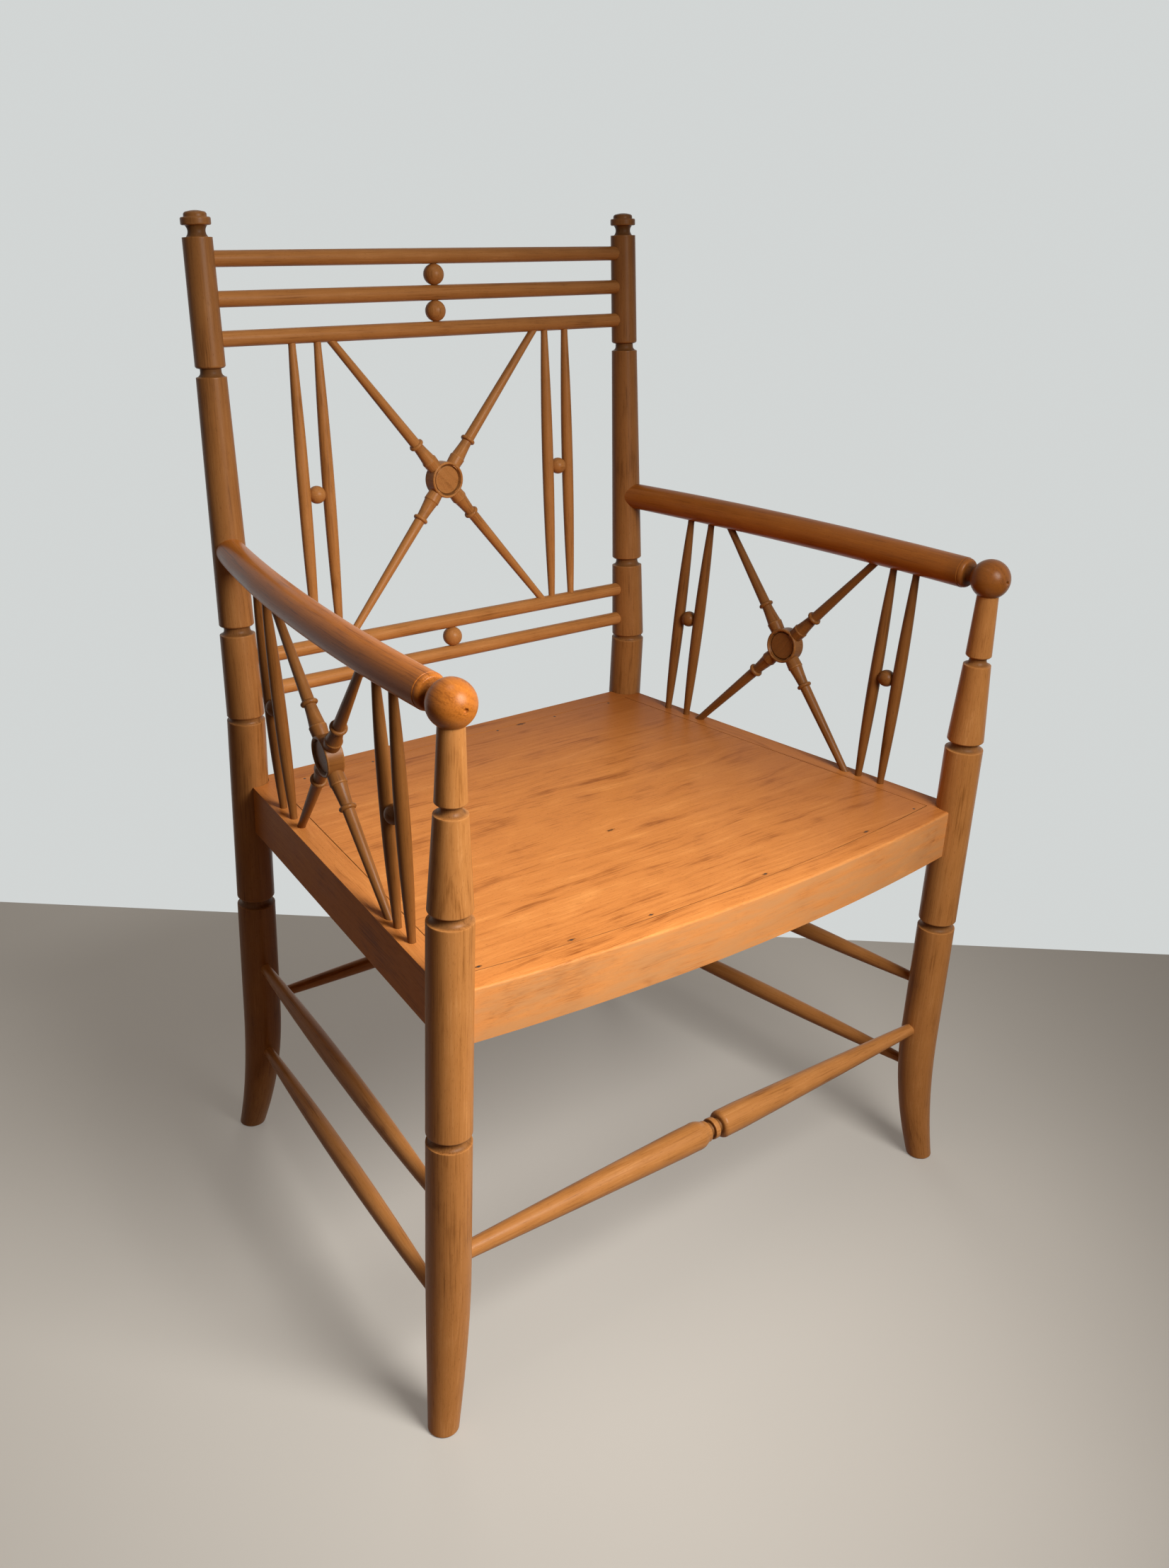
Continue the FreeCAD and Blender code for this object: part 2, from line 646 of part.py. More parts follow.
def side_strip(side, near, far, start, end, bottom, height):
    """Straight bar along a side of the seat, between two insets and two distances from the front posts."""
    turns = ((start, near), (end, near), (end, far), (start, far))
    points = [side_line(side, y, inset) for y, inset in turns]
    return prism([(p.x, p.y) for p in points], bottom, height)


def post_wells():
    """Cylinders that scribe the seat rails' ends to the four posts."""
    wells = []
    for side in SIDES.values():
        for x, y, radius in ((front_post_x, 0, front_radius()), (back_post_x, seat_depth, back_radius())):
            wells.append(Part.makeCylinder(radius + scribe_gap, seat_height * 2, V(side * x, y, 0), UP))
    return wells


def add_tenon(rail, host, origin, along, across):
    """Tenon on a rail's end: a flat tongue that runs into its post, and the mortise for it."""
    bottom = seat_height - panel_thickness - (rail_height - panel_thickness + tenon_height) / 2
    root = origin - along * entry_margin

    def tongue(grow, extra):
        """Tongue grown by a clearance on its faces and a gap at its end."""
        half = across * (tenon_thickness / 2 + grow)
        far = root + along * (entry_margin + tenon_depth + extra)
        corners = [root - half, far - half, far + half, root + half]
        return prism([(p.x, p.y) for p in corners], bottom - grow, tenon_height + 2 * grow)

    parts[rail] = parts[rail].fuse(tongue(0.0, 0.0))
    sockets.setdefault(host, []).append(tongue(joint_clearance, end_gap))


def build_seat_frame():
    """Seat frame: bowed front rail, straight back rail and two side rails, tenoned into the posts."""
    wells = post_wells()
    front_reach = front_post_x - rail_wrap * front_radius()
    back_reach = back_post_x - rail_wrap * back_radius()
    back_face = seat_depth + back_rail_proud
    ledge_height = rail_height - panel_thickness
    parts["front_seat_rail"] = front_rail_blank(front_reach).cut(wells)
    back = cross_bar(back_reach, back_face - rail_lip, back_face, rail_bottom_z, rail_height)
    ledge = cross_bar(back_reach, back_face - rail_width, back_face - rail_lip, rail_bottom_z, ledge_height)
    parts["back_seat_rail"] = back.fuse(ledge).removeSplitter().cut(wells)
    ledge_top = seat_height - panel_thickness + scribe_gap
    stops = []
    for width, bottom, top in ((rail_width, 0, ledge_top), (rail_lip, ledge_top, 2 * ledge_top)):
        inset = width + scribe_gap
        stops.append(bow_band(-scribe_gap, inset, front_reach + scribe_gap, bottom, top - bottom))
        stops.append(cross_bar(back_reach + scribe_gap, back_face - inset, seat_depth + rail_width, bottom,
                               top - bottom))
    start = rail_wrap * front_radius()
    end = seat_depth - rail_wrap * back_radius()
    lip_inset = rail_lip - side_rail_proud
    ledge_inset = rail_width - side_rail_proud
    tenon_inset = tenon_setback + tenon_thickness / 2
    for side_name, side in SIDES.items():
        leg = "front_leg_" + side_name
        post = "back_post_" + side_name
        rail = side_name + "_seat_rail"
        lip = side_strip(side, -side_rail_proud, lip_inset, start, end, rail_bottom_z, rail_height)
        inner = side_strip(side, lip_inset, ledge_inset, start, end, rail_bottom_z, ledge_height)
        parts[rail] = lip.fuse(inner).removeSplitter().cut(wells + stops)
        shift = tenon_inset - side_rail_proud
        along = (side_line(side, seat_depth, 0) - side_line(side, 0, 0)).normalize()
        across = V(along.y, -along.x, 0)
        outward = V(side, 0, 0)
        front_end = side_line(side, 0, shift) + along * front_radius()
        back_end = side_line(side, seat_depth, shift) - along * back_radius()
        add_tenon(rail, leg, front_end, along * -1, across)
        add_tenon(rail, post, back_end, along, across)
        front_end = V(side * (front_post_x - front_radius()), tenon_inset - front_rail_proud, 0)
        back_end = V(side * (back_post_x - back_radius()), back_face - tenon_inset, 0)
        add_tenon("front_seat_rail", leg, front_end, outward, V(0, 1, 0))
        add_tenon("back_seat_rail", post, back_end, outward, V(0, 1, 0))


def front_rail_blank(reach):
    """Bowed front rail: a section with an eased upper edge, swept about the bow's centre, cut to length."""
    ease = rail_arris * (1 - sqrt(0.5))
    ledge_z = seat_height - panel_thickness
    outline = [(rail_lip, seat_height), (rail_lip, ledge_z), (rail_width, ledge_z),
               (rail_width, rail_bottom_z), (0.0, rail_bottom_z), (0.0, seat_height - rail_arris),
               (ease, seat_height - ease), (rail_arris, seat_height)]
    corners = [V(bow_radius - inset, bow_centre_y, z) for inset, z in outline]
    half = degrees(asin((reach + rail_width) / bow_radius))
    centre = V(0, bow_centre_y, 0)
    section = Part.Face(Part.makePolygon(corners + corners[:1]))
    section.rotate(centre, UP, -90 - half)
    slab = Part.makeBox(2 * reach, seat_depth, rail_height, V(-reach, -seat_depth / 2, rail_bottom_z))
    return section.revolve(centre, UP, 2 * half).common(slab)


def build_seat_panel():
    """Seat panel let in flush between the rails' lips, on their ledges."""
    inset = rail_lip + panel_gap
    bottom = seat_height - panel_thickness
    back_y = seat_depth + back_rail_proud - inset
    front_y = bow_y(0, 0.0)
    turns = ((-1, front_y), (1, front_y), (1, back_y), (-1, back_y))
    corners = [side_line(side, y, inset - side_rail_proud) for side, y in turns]
    blank = prism([(p.x, p.y) for p in corners], bottom, panel_thickness)
    bow = Part.makeCylinder(bow_radius - inset, panel_thickness, V(0, bow_centre_y, bottom), UP)
    parts["seat_panel"] = blank.common(bow)


def brad_places():
    """Brads along the panel's front and back edges, over the middle of the ledges."""
    inset = rail_lip + rail_ledge / 2
    back_y = seat_depth + back_rail_proud - inset
    front_y = bow_y(0, inset) + front_bow
    front_x = [share * side_line(1, front_y, inset).x for share in brad_front_shares]
    back_x = [share * side_line(1, back_y, inset).x for share in brad_back_shares]
    return [V(x, bow_y(x, inset), seat_height) for x in front_x] + [V(x, back_y, seat_height) for x in back_x]


def build_brads():
    """Brads that hold the seat panel down, with their holes in the panel and the rails."""
    length = panel_thickness + brad_bite
    shank = brad_shank_diameter / 2
    head = brad_head_diameter / 2
    seat = -brad_head_height
    brads = []
    for place in brad_places():
        point = (shank, brad_shank_diameter - length)
        brad = lathe((0, -length), [point, (shank, seat), (head, seat), (head, 0), (0, 0)])
        brad.translate(place)
        brads.append(brad)
        drill = shank + joint_clearance
        sink = head + joint_clearance
        tip = -length - end_gap
        hole = lathe((0, tip), [(drill, tip), (drill, seat), (sink, seat), (sink, end_gap), (0, end_gap)])
        hole.translate(place)
        rail = "front_seat_rail" if place.y < seat_depth / 2 else "back_seat_rail"
        for host in ("seat_panel", rail):
            sockets.setdefault(host, []).append(hole)
    parts["seat_brads"] = Part.makeCompound(brads)


def build_corner_blocks():
    """Three-cornered glue blocks in the seat frame's inner corners, under the ledges."""
    inset = rail_width - side_rail_proud
    bottom = rail_bottom_z + corner_block_lift
    blocks = []
    for side in SIDES.values():
        along = (side_line(side, seat_depth, inset) - side_line(side, 0, inset)).normalize()
        front = side_line(side, 0, inset)
        front = front + along * ((bow_y(abs(front.x), rail_width) - front.y) / along.y)
        back = side_line(side, seat_depth + back_rail_proud - rail_width, inset)
        for corner, sense in ((front, 1), (back, -1)):
            inner = V(-side, 0, 0)
            corner = corner + (inner + along * sense) * (2 * scribe_gap)
            arms = [corner, corner + along * (sense * corner_block_leg), corner + inner * corner_block_leg]
            block = prism([(p.x, p.y) for p in arms], bottom, corner_block_height)
            blocks.append(block.cut(bow_band(0, rail_width + scribe_gap, front_post_x, 0, seat_height)))
    parts["corner_blocks"] = Part.makeCompound([s for b in blocks for s in b.Solids])


def build_stretchers():
    """Stretchers: two on each side, one at the back and a turned one at the front."""
    for side_name, side in SIDES.items():
        for level, z in (("upper", upper_side_stretcher_height), ("lower", lower_side_stretcher_height)):
            start = front_axis(side, z)
            end = back_axis(side, z)
            axis = (end - start).normalize()
            start = start + axis * leg_radius(z, front_leg_segment)
            end = end - axis * leg_radius(z, back_leg_segment)
            join("side_stretcher_%s_%s" % (side_name, level), start, end, (stretcher_depth, stretcher_depth),
                 side_stretcher_end_diameter, side_stretcher_middle_diameter,
                 ("front_leg_" + side_name, "back_post_" + side_name))
    z = back_stretcher_height
    radius = V(leg_radius(z, back_leg_segment), 0, 0)
    join("back_stretcher", back_axis(-1, z) + radius, back_axis(1, z) - radius,
         (stretcher_depth, stretcher_depth), back_stretcher_end_diameter, back_stretcher_middle_diameter,
         ("back_post_left", "back_post_right"))
    build_front_stretcher()


def build_front_stretcher():
    """Front stretcher: two long swells that meet at a turned band, with a collar on the band's left."""
    half = front_axis(1, front_stretcher_height).x - leg_radius(front_stretcher_height, front_leg_segment)
    tip = half + stretcher_depth
    lead = half - rod_lead
    left_end, right_end = [d / 2 for d in front_stretcher_end_diameters]
    swell = front_stretcher_swell_diameter / 2
    shoulder = front_stretcher_shoulder_diameter / 2
    nose = front_stretcher_nose_diameter / 2
    band = front_band_diameter / 2
    slot = front_band_groove_diameter / 2
    left_full, right_full = front_swell_ends
    band_low = front_band_place - front_band_width / 2
    band_high = front_band_place + front_band_width / 2
    slot_low = band_low - front_band_groove_width
    slot_high = band_high + front_band_groove_width
    collar = slot_low - front_band_collar
    slims = [(end + front_slim_pull * (swell - end), (sign * lead + full) / 2)
             for end, sign, full in ((left_end, -1, left_full), (right_end, 1, right_full))]
    left_round = (shoulder + front_round_pull * (swell - shoulder),
                  collar - (1 - front_round_pull) * front_shoulder_length)
    right_round = (nose + front_round_pull * (swell - nose),
                   slot_high + (1 - front_round_pull) * front_nose_length)
    ease = front_band_ease
    steps = [(left_end, -tip), (left_end, -lead), (slims[0], (swell, left_full)),
             (swell, collar - front_shoulder_length), (left_round, (shoulder, collar)),
             (band, collar + ease), (band, slot_low - ease), (band - ease, slot_low), (slot, slot_low),
             (slot, band_low), (band - ease, band_low), (band, band_low + ease), (band, band_high - ease),
             (band - ease, band_high), (slot, band_high), (slot, slot_high), (nose, slot_high),
             (right_round, (swell, slot_high + front_nose_length)), (swell, right_full),
             (slims[1], (right_end, lead)), (right_end, tip), (0, tip)]
    centre = V(0, 0, front_stretcher_height)
    parts["front_stretcher"] = placed(lathe((0, -tip), steps), centre, V(1, 0, 0))
    for diameter, (side_name, side) in zip(front_stretcher_end_diameters, SIDES.items()):
        add_socket("front_leg_" + side_name, centre + V(side * tip, 0, 0), V(-side, 0, 0), diameter,
                   stretcher_depth + entry_margin)


def main():
    """Build every piece, cut its sockets, centre the chair on its footprint and write one file a piece."""
    for side_name, side in SIDES.items():
        build_front_leg("front_leg_" + side_name, side)
        build_back_post("back_post_" + side_name, side)
        build_armrest("armrest_" + side_name, side)
    build_back()
    build_seat_frame()
    for side_name, side in SIDES.items():
        build_arm_panel(side_name, side)
    build_seat_panel()
    build_brads()
    build_corner_blocks()
    build_stretchers()
    for host, drills in sockets.items():
        parts[host] = parts[host].cut(drills)
    boxes = [shape.optimalBoundingBox() for shape in parts.values()]
    middle_y = (min(b.YMin for b in boxes) + max(b.YMax for b in boxes)) / 2
    os.makedirs("parts", exist_ok=True)
    for name, shape in sorted(parts.items()):
        shape.translate(V(0, -middle_y, 0))
        solids = shape.Solids
        if not shape.isValid() or (len(solids) != 1 and name not in ("corner_blocks", "seat_brads")):
            print("check", name, shape.isValid(), len(solids))
        shape.exportStep("parts/%s.step" % name)
    width = 2 * max(b.XMax for b in boxes)
    height = max(b.ZMax for b in boxes)
    print("pieces", len(parts), "width", round(width, 1), "height", round(height, 1))
    print("footprint middle at y =", round(middle_y, 3))


main()
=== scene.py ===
import logging
import math
from dataclasses import dataclass, replace
from enum import Enum
from typing import Any, Callable, Sequence, Union

import bmesh
import bpy
from mathutils import Matrix, Vector


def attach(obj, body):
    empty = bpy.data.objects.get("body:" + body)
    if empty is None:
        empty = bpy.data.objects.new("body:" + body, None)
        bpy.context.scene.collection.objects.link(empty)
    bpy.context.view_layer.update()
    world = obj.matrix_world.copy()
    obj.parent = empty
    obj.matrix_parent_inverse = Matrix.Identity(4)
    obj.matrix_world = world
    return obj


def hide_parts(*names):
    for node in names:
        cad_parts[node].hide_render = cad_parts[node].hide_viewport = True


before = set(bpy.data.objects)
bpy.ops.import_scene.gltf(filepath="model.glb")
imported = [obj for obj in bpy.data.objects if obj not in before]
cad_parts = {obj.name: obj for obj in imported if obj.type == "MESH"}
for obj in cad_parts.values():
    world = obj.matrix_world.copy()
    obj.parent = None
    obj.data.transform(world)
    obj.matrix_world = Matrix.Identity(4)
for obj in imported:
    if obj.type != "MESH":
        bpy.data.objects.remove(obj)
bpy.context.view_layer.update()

MM = 0.001
MM_PER_M = 1000.0
RIGHT, BACK, UP = Vector((1.0, 0.0, 0.0)), Vector((0.0, 1.0, 0.0)), Vector((0.0, 0.0, 1.0))
SIDES = {"left": -1, "right": 1}
PHOTO_HEIGHT = 2216
CORE = 0.05  # radius at which a turning's end closes, mm
STEP = 0.01  # what keeps the two points of a square step apart, mm

Number = Union[int, float]
Point = tuple[float, float]
Triple = tuple[float, float, float]
Ring = tuple[float, float, float, float]
Seat = tuple[Vector, Vector, Vector]
Path = Callable[[float], Seat]
log = logging.getLogger("armchair")


class Slot(Enum):
    """The record's material slots."""

    TURNED = "turned_wood"
    ARM = "arm_wood"
    SEAT = "seat_wood"
    BLOCK = "block_wood"
    BRAD = "brad_steel"


def operator(operation: str, reflected: bool = False) -> Callable[["Field", Any], "Field"]:
    """Write an arithmetic method of Field.

    Args:
        operation: The Math node's operation.
        reflected: Whether the field is the second term.

    Returns:
        The method.
    """

    def method(self: "Field", other: Any) -> "Field":
        """Add a Math node on the field and another term."""
        return self.graph.math(operation, *((other, self) if reflected else (self, other)))

    return method


class Field:
    """One output socket of a node tree; arithmetic on it adds Math or Vector Math nodes."""

    def __init__(self, graph: "Graph", socket: bpy.types.NodeSocket) -> None:
        """Keep the graph and the socket."""
        self.graph, self.socket = graph, socket

    __add__, __radd__ = operator("ADD"), operator("ADD", True)
    __sub__, __rsub__ = operator("SUBTRACT"), operator("SUBTRACT", True)
    __mul__, __rmul__ = operator("MULTIPLY"), operator("MULTIPLY", True)
    __truediv__, __rtruediv__ = operator("DIVIDE"), operator("DIVIDE", True)

    def math(self, operation: str) -> "Field":
        """A Math node's result on this value alone."""
        return self.graph.math(operation, self)

    def part(self, axis: str) -> "Field":
        """One component of a vector, by its letter."""
        return self.graph.value("ShaderNodeSeparateXYZ", {}, {"Vector": self}, axis)

    def steps(self, low: Number, high: Number) -> "Field":
        """Smooth step from 0 below one value to 1 above another."""
        return self.graph.value("ShaderNodeMapRange", {"interpolation_type": "SMOOTHSTEP"},
                                {"Value": self, "From Min": low, "From Max": high}, "Result")

    def bounded(self) -> "Field":
        """The value held between 0 and 1."""
        return self.graph.value("ShaderNodeClamp", {}, {"Value": self}, "Result")


class Graph:
    """A node tree that is being written, for a material or for Geometry Nodes."""

    def __init__(self, tree: bpy.types.NodeTree) -> None:
        """Keep the tree."""
        self.tree = tree

    def node(self, kind: str, settings: dict[str, Any], inputs: dict[Any, Any]) -> bpy.types.Node:
        """Add a node.

        Args:
            kind: The node's type.
            settings: Its properties, set first.
            inputs: Values or fields for its sockets, by name or index.

        Returns:
            The new node.
        """
        node = self.tree.nodes.new(kind)
        for key, value in settings.items():
            setattr(node, key, value)
        for key, value in inputs.items():
            if isinstance(value, Field):
                self.tree.links.new(value.socket, node.inputs[key])
            else:
                node.inputs[key].default_value = value
        return node

    def value(self, kind: str, settings: dict[str, Any], inputs: dict[Any, Any], output: Any) -> Field:
        """Add a node and return one of its outputs as a field."""
        return Field(self, self.node(kind, settings, inputs).outputs[output])

    def geometry(self, kind: str, inputs: dict[Any, Any], output: str = "Geometry", **settings: Any) -> Field:
        """Add a Geometry Nodes node and return one of its outputs as a field."""
        return self.value("GeometryNode" + kind, settings, inputs, output)

    def math(self, operation: str, *terms: Any) -> Field:
        """Add a Math node, or a Vector Math node where a term is a vector.

        Args:
            operation: The node's operation.
            terms: Fields, numbers or tuples.

        Returns:
            The result.
        """
        vector = [isinstance(t, tuple) or isinstance(t, Field) and t.socket.type in ("VECTOR", "RGBA") for t in terms]
        if not any(vector):
            return self.value("ShaderNodeMath", {"operation": operation}, dict(enumerate(terms)), "Value")
        inputs = dict(enumerate(terms))
        if operation == "MULTIPLY" and not all(vector):
            operation, inputs = "SCALE", {0: terms[vector.index(True)], "Scale": terms[vector.index(False)]}
        return self.value("ShaderNodeVectorMath", {"operation": operation}, inputs, "Vector")

    def length(self, vector: Field) -> Field:
        """Length of a vector."""
        return self.value("ShaderNodeVectorMath", {"operation": "LENGTH"}, {0: vector}, "Value")

    def combine(self, x: Any, y: Any, z: Any) -> Field:
        """Vector from three values."""
        return self.value("ShaderNodeCombineXYZ", {}, {"X": x, "Y": y, "Z": z}, "Vector")

    def mix(self, factor: Any, first: Any, second: Any) -> Field:
        """Mix two colours, given as fields or linear triples."""
        pair = [c if isinstance(c, Field) else (*c, 1.0) for c in (first, second)]
        return self.value("ShaderNodeMix", {"data_type": "RGBA"}, {0: factor, 6: pair[0], 7: pair[1]}, 2)

    def seen(self) -> Field:
        """1 for what is seen straight, mirrored or through something clear, and 0 for light thrown back."""
        rays = ("Is Camera Ray", "Is Glossy Ray", "Is Transmission Ray")
        return sum(self.value("ShaderNodeLightPath", {}, {}, ray) for ray in rays).bounded()

    def place(self) -> Field:
        """Object coordinates, in metres."""
        return self.value("ShaderNodeTexCoord", {}, {}, "Object")

    def attribute(self, name: str, output: str = "Fac") -> Field:
        """An attribute of the piece's mesh."""
        return self.value("ShaderNodeAttribute", {"attribute_name": name}, {}, output)

    def bump(self, strength: float, distance: float, height: Field) -> Field:
        """Normal of a surface with small heights on it."""
        return self.value("ShaderNodeBump", {}, {"Strength": strength, "Distance": distance, "Height": height},
                          "Normal")

    def noise(self, where: Field, detail: float, roughness: float = 0.5, output: str = "Fac") -> Field:
        """Three-dimensional noise at a place that is already scaled."""
        return self.value("ShaderNodeTexNoise", {"noise_dimensions": "3D"},
                          {"Vector": where, "Scale": 1.0, "Detail": detail, "Roughness": roughness}, output)

    def streaks(self, where: Field, size: Point, detail: float, roughness: float = 0.5, output: str = "Fac") -> Field:
        """Noise drawn out along Z, with its sizes across and along."""
        return self.noise(where * (1 / size[0], 1 / size[0], 1 / size[1]), detail, roughness, output)


@dataclass(frozen=True)
class Finish:
    """A surface that is written as one material."""

    name: str

    def shader(self, graph: Graph) -> dict[str, Any]:
        """Values or fields for the shader's sockets."""
        return {}

    def material(self) -> bpy.types.Material:
        """Write the finish.

        Returns:
            The material.
        """
        material = bpy.data.materials.new(self.name)
        material.use_nodes = True
        material.node_tree.nodes.clear()
        graph = Graph(material.node_tree)
        surface = graph.value("ShaderNodeBsdfPrincipled", {}, self.shader(graph), "BSDF")
        graph.node("ShaderNodeOutputMaterial", {}, {"Surface": surface})
        return material


@dataclass(frozen=True)
class WoodFinish(Finish):
    """Polished wood: growth rings, fibre, pores, patina, hollows darkened by dirt and painted shade, and rubbed
    edges. Sizes in mm.
    """

    pale: Triple
    warm: Triple
    deep: Triple
    # Dark colour of the hollows: dirt and painted shade. It is also used for the seat's dashes and for the right
    # arm's painted shade.
    dirt_and_shade_colour: Triple = (0.060, 0.024, 0.008)
    rubbed: Triple = (0.60, 0.28, 0.095)
    ring_width: float = 3.2
    ring_run: float = 300.0
    ring_depth: float = 0.5
    fibre_size: Point = (1.1, 42.0)
    fibre_depth: float = 0.5
    mottle_size: Point = (24.0, 46.0)
    mottle_depth: float = 0.4
    pith: Point = (31.0, 22.0)
    drift_size: Point = (38.0, 150.0)
    sway: float = 5.0
    pore_size: Point = (0.45, 4.5)
    pore_steps: Point = (0.63, 0.74)
    pore_share: float = 0.5
    fleck_size: Point = (2.4, 75.0)
    fleck_steps: Point = (0.54, 0.76)
    fleck_share: float = 0.0
    dirt_and_shade_share: float = 0.7
    wear_scale: Triple = (160.0, 160.0, 160.0)
    wear_share: float = 0.28
    roughness: float = 0.36
    coat: float = 0.02
    coat_roughness: float = 0.22
    shine: float = 0.14
    bump: float = 0.25
    relief: float = 0.00012

    def patches(self, graph: Graph, colour: Field, place: Field) -> Field:
        """Marks that belong to one place on the chair; none on plain pieces."""
        return colour

    def shader(self, graph: Graph) -> dict[str, Any]:
        """Write the wood on each piece's grain, hollow and wear attributes.

        Args:
            graph: The material's graph.

        Returns:
            The shader's inputs.
        """
        grain, place = graph.attribute("grain", "Vector") * MM_PER_M, graph.place()
        drift = graph.streaks(grain, self.drift_size, 2.0, output="Color") - (0.5, 0.5, 0.5)
        bent = grain + drift * (self.sway * 2)
        radial = graph.length(bent * (1.0, 1.0, 0.0) + (*self.pith, 0.0))
        ring = graph.noise(graph.combine(radial / self.ring_width, bent.part("Z") / self.ring_run, 0.0), 3.0, 0.6)
        fibre = graph.streaks(grain, self.fibre_size, 3.0, 0.6)
        pore = graph.streaks(grain, self.pore_size, 1.0).steps(*self.pore_steps)
        mottle = graph.streaks(grain, self.mottle_size, 3.0, 0.55)
        tone = (0.5 + (ring - 0.5) * (self.ring_depth * 2) + (fibre - 0.5) * (self.fibre_depth * 2)
                + (mottle - 0.5) * (self.mottle_depth * 2)).bounded()
        colour = graph.mix(tone.steps(0.0, 0.5), self.deep, self.warm)
        colour = graph.mix(tone.steps(0.5, 1.0), colour, self.pale)
        colour = graph.mix(pore * self.pore_share, colour, self.deep)
        fleck = graph.streaks(bent, self.fleck_size, 3.0, 0.6).steps(*self.fleck_steps)
        colour = self.patches(graph, graph.mix(fleck * self.fleck_share, colour, self.deep), place)
        broken = graph.noise(place * self.wear_scale, 3.0, 0.6).steps(0.38, 0.62)
        rub = (graph.attribute("wear") * broken * self.wear_share).bounded()
        colour = graph.mix(rub, colour, self.rubbed)
        # Painted shade with real dirt: where the hollow attribute is high the colour turns dark. Grooves and recesses
        # get painted shade as well as dirt; the seat's seams are dark joints.
        uneven = 0.55 + 0.45 * mottle.steps(0.3, 0.7)
        dirt_and_shade = (graph.attribute("hollow") * uneven * self.dirt_and_shade_share).bounded()
        rough = (self.roughness + (mottle - 0.5) * 0.16 + pore * 0.12 + dirt_and_shade * 0.2 - rub * 0.05).bounded()
        height = fibre * 0.35 + ring * 0.25 - pore * 0.7
        return {"Base Color": graph.mix(dirt_and_shade, colour, self.dirt_and_shade_colour), "Roughness": rough,
                "Normal": graph.bump(self.bump, self.relief, height), "Coat Weight": self.coat,
                "Coat Roughness": self.coat_roughness, "Specular IOR Level": self.shine}


@dataclass(frozen=True)
class SeatFinish(WoodFinish):
    """The seat's wood: a bleached front face, painted shade towards the back and the right, dark dashes at brads and
    knots.
    """

    bleached: Triple = (0.48, 0.235, 0.095)
    bleach_share: float = 0.85
    blotch_scale: Triple = (16.0, 45.0, 120.0)
    painted_shade_x: Point = (60.0, 280.0)
    painted_shade_y: Point = (20.0, 215.0)
    painted_shade_share: float = 0.4
    bleach_guard: float = 0.9
    ragged_scale: Triple = (500.0, 500.0, 500.0)
    dash_share: float = 0.85
    dashes: tuple[Ring, ...] = ()

    def patches(self, graph: Graph, colour: Field, place: Field) -> Field:
        """Lay the bleached face, the painted shade towards the back and the right, and the dark dashes over the
        wood's colour.

        Args:
            graph: The material's graph.
            colour: The wood's colour.
            place: Object coordinates, in metres.

        Returns:
            The marked colour.
        """
        bleach = graph.attribute("bleach")
        blotch = graph.noise(place * self.blotch_scale, 4.0, 0.62).steps(0.3, 0.66)
        colour = graph.mix(bleach * (0.35 + 0.65 * blotch) * self.bleach_share, colour, self.bleached)
        flat = place * (MM_PER_M, MM_PER_M, 0.0)
        # Painted shade: the seat darkens towards the back and the right, and this is kept off the bleached faces.
        behind, right = flat.part("Y").steps(*self.painted_shade_y), flat.part("X").steps(*self.painted_shade_x)
        painted_shade = (behind * self.painted_shade_share + right * self.painted_shade_share).bounded()
        colour = graph.mix(painted_shade * (1 - bleach * self.bleach_guard), colour, self.deep)
        ragged = graph.noise(place * self.ragged_scale, 2.0) - 0.5
        for x, y, half_length, half_width in self.dashes:
            reach = graph.length((flat - (x, y, 0.0)) * (1 / half_length, 1 / half_width, 0.0))
            mark = 1 - (reach + ragged * 1.2).steps(0.45, 1.0)
            colour = graph.mix(mark * self.dash_share, colour, self.dirt_and_shade_colour)
        return colour


@dataclass(frozen=True)
class ArmFinish(WoodFinish):
    """The armrests' wood, with painted shade on the right arm and most of all on the right ball."""

    painted_right_shade: Point = (0.2, 0.3)
    right_x: Point = (0.10, 0.25)
    ball_y: Point = (-0.215, -0.190)

    def patches(self, graph: Graph, colour: Field, place: Field) -> Field:
        """Paint shade over the right arm's wood colour, most of all on its ball.

        Args:
            graph: The material's graph.
            colour: The wood's colour.
            place: Object coordinates, in metres.

        Returns:
            The darkened colour.
        """
        # Painted shade: the right arm, and its ball most, mix toward the dark hollow colour.
        ball = 1 - place.part("Y").steps(*self.ball_y)
        share = place.part("X").steps(*self.right_x) * (self.painted_right_shade[0] + self.painted_right_shade[1] * ball)
        return graph.mix(share, colour, self.dirt_and_shade_colour)


@dataclass(frozen=True)
class BlockFinish(Finish):
    """Bare sawn wood of the hidden corner blocks, with saw marks."""

    name: str = "corner block sawn wood"
    light: Triple = (0.50, 0.30, 0.14)
    dark: Triple = (0.28, 0.15, 0.065)
    grain_scale: Triple = (60.0, 900.0, 900.0)
    saw_scale: Triple = (700.0, 40.0, 40.0)

    def shader(self, graph: Graph) -> dict[str, Any]:
        """Write the wood on Object coordinates.

        Args:
            graph: The material's graph.

        Returns:
            The shader's inputs.
        """
        place = graph.place()
        grain = graph.noise(place * self.grain_scale, 3.0, 0.6)
        saw = graph.noise(place * self.saw_scale, 1.0)
        return {"Base Color": graph.mix(grain.steps(0.3, 0.7), self.dark, self.light),
                "Roughness": 0.72 + (saw - 0.5) * 0.2, "Normal": graph.bump(0.5, 0.0003, grain + saw)}


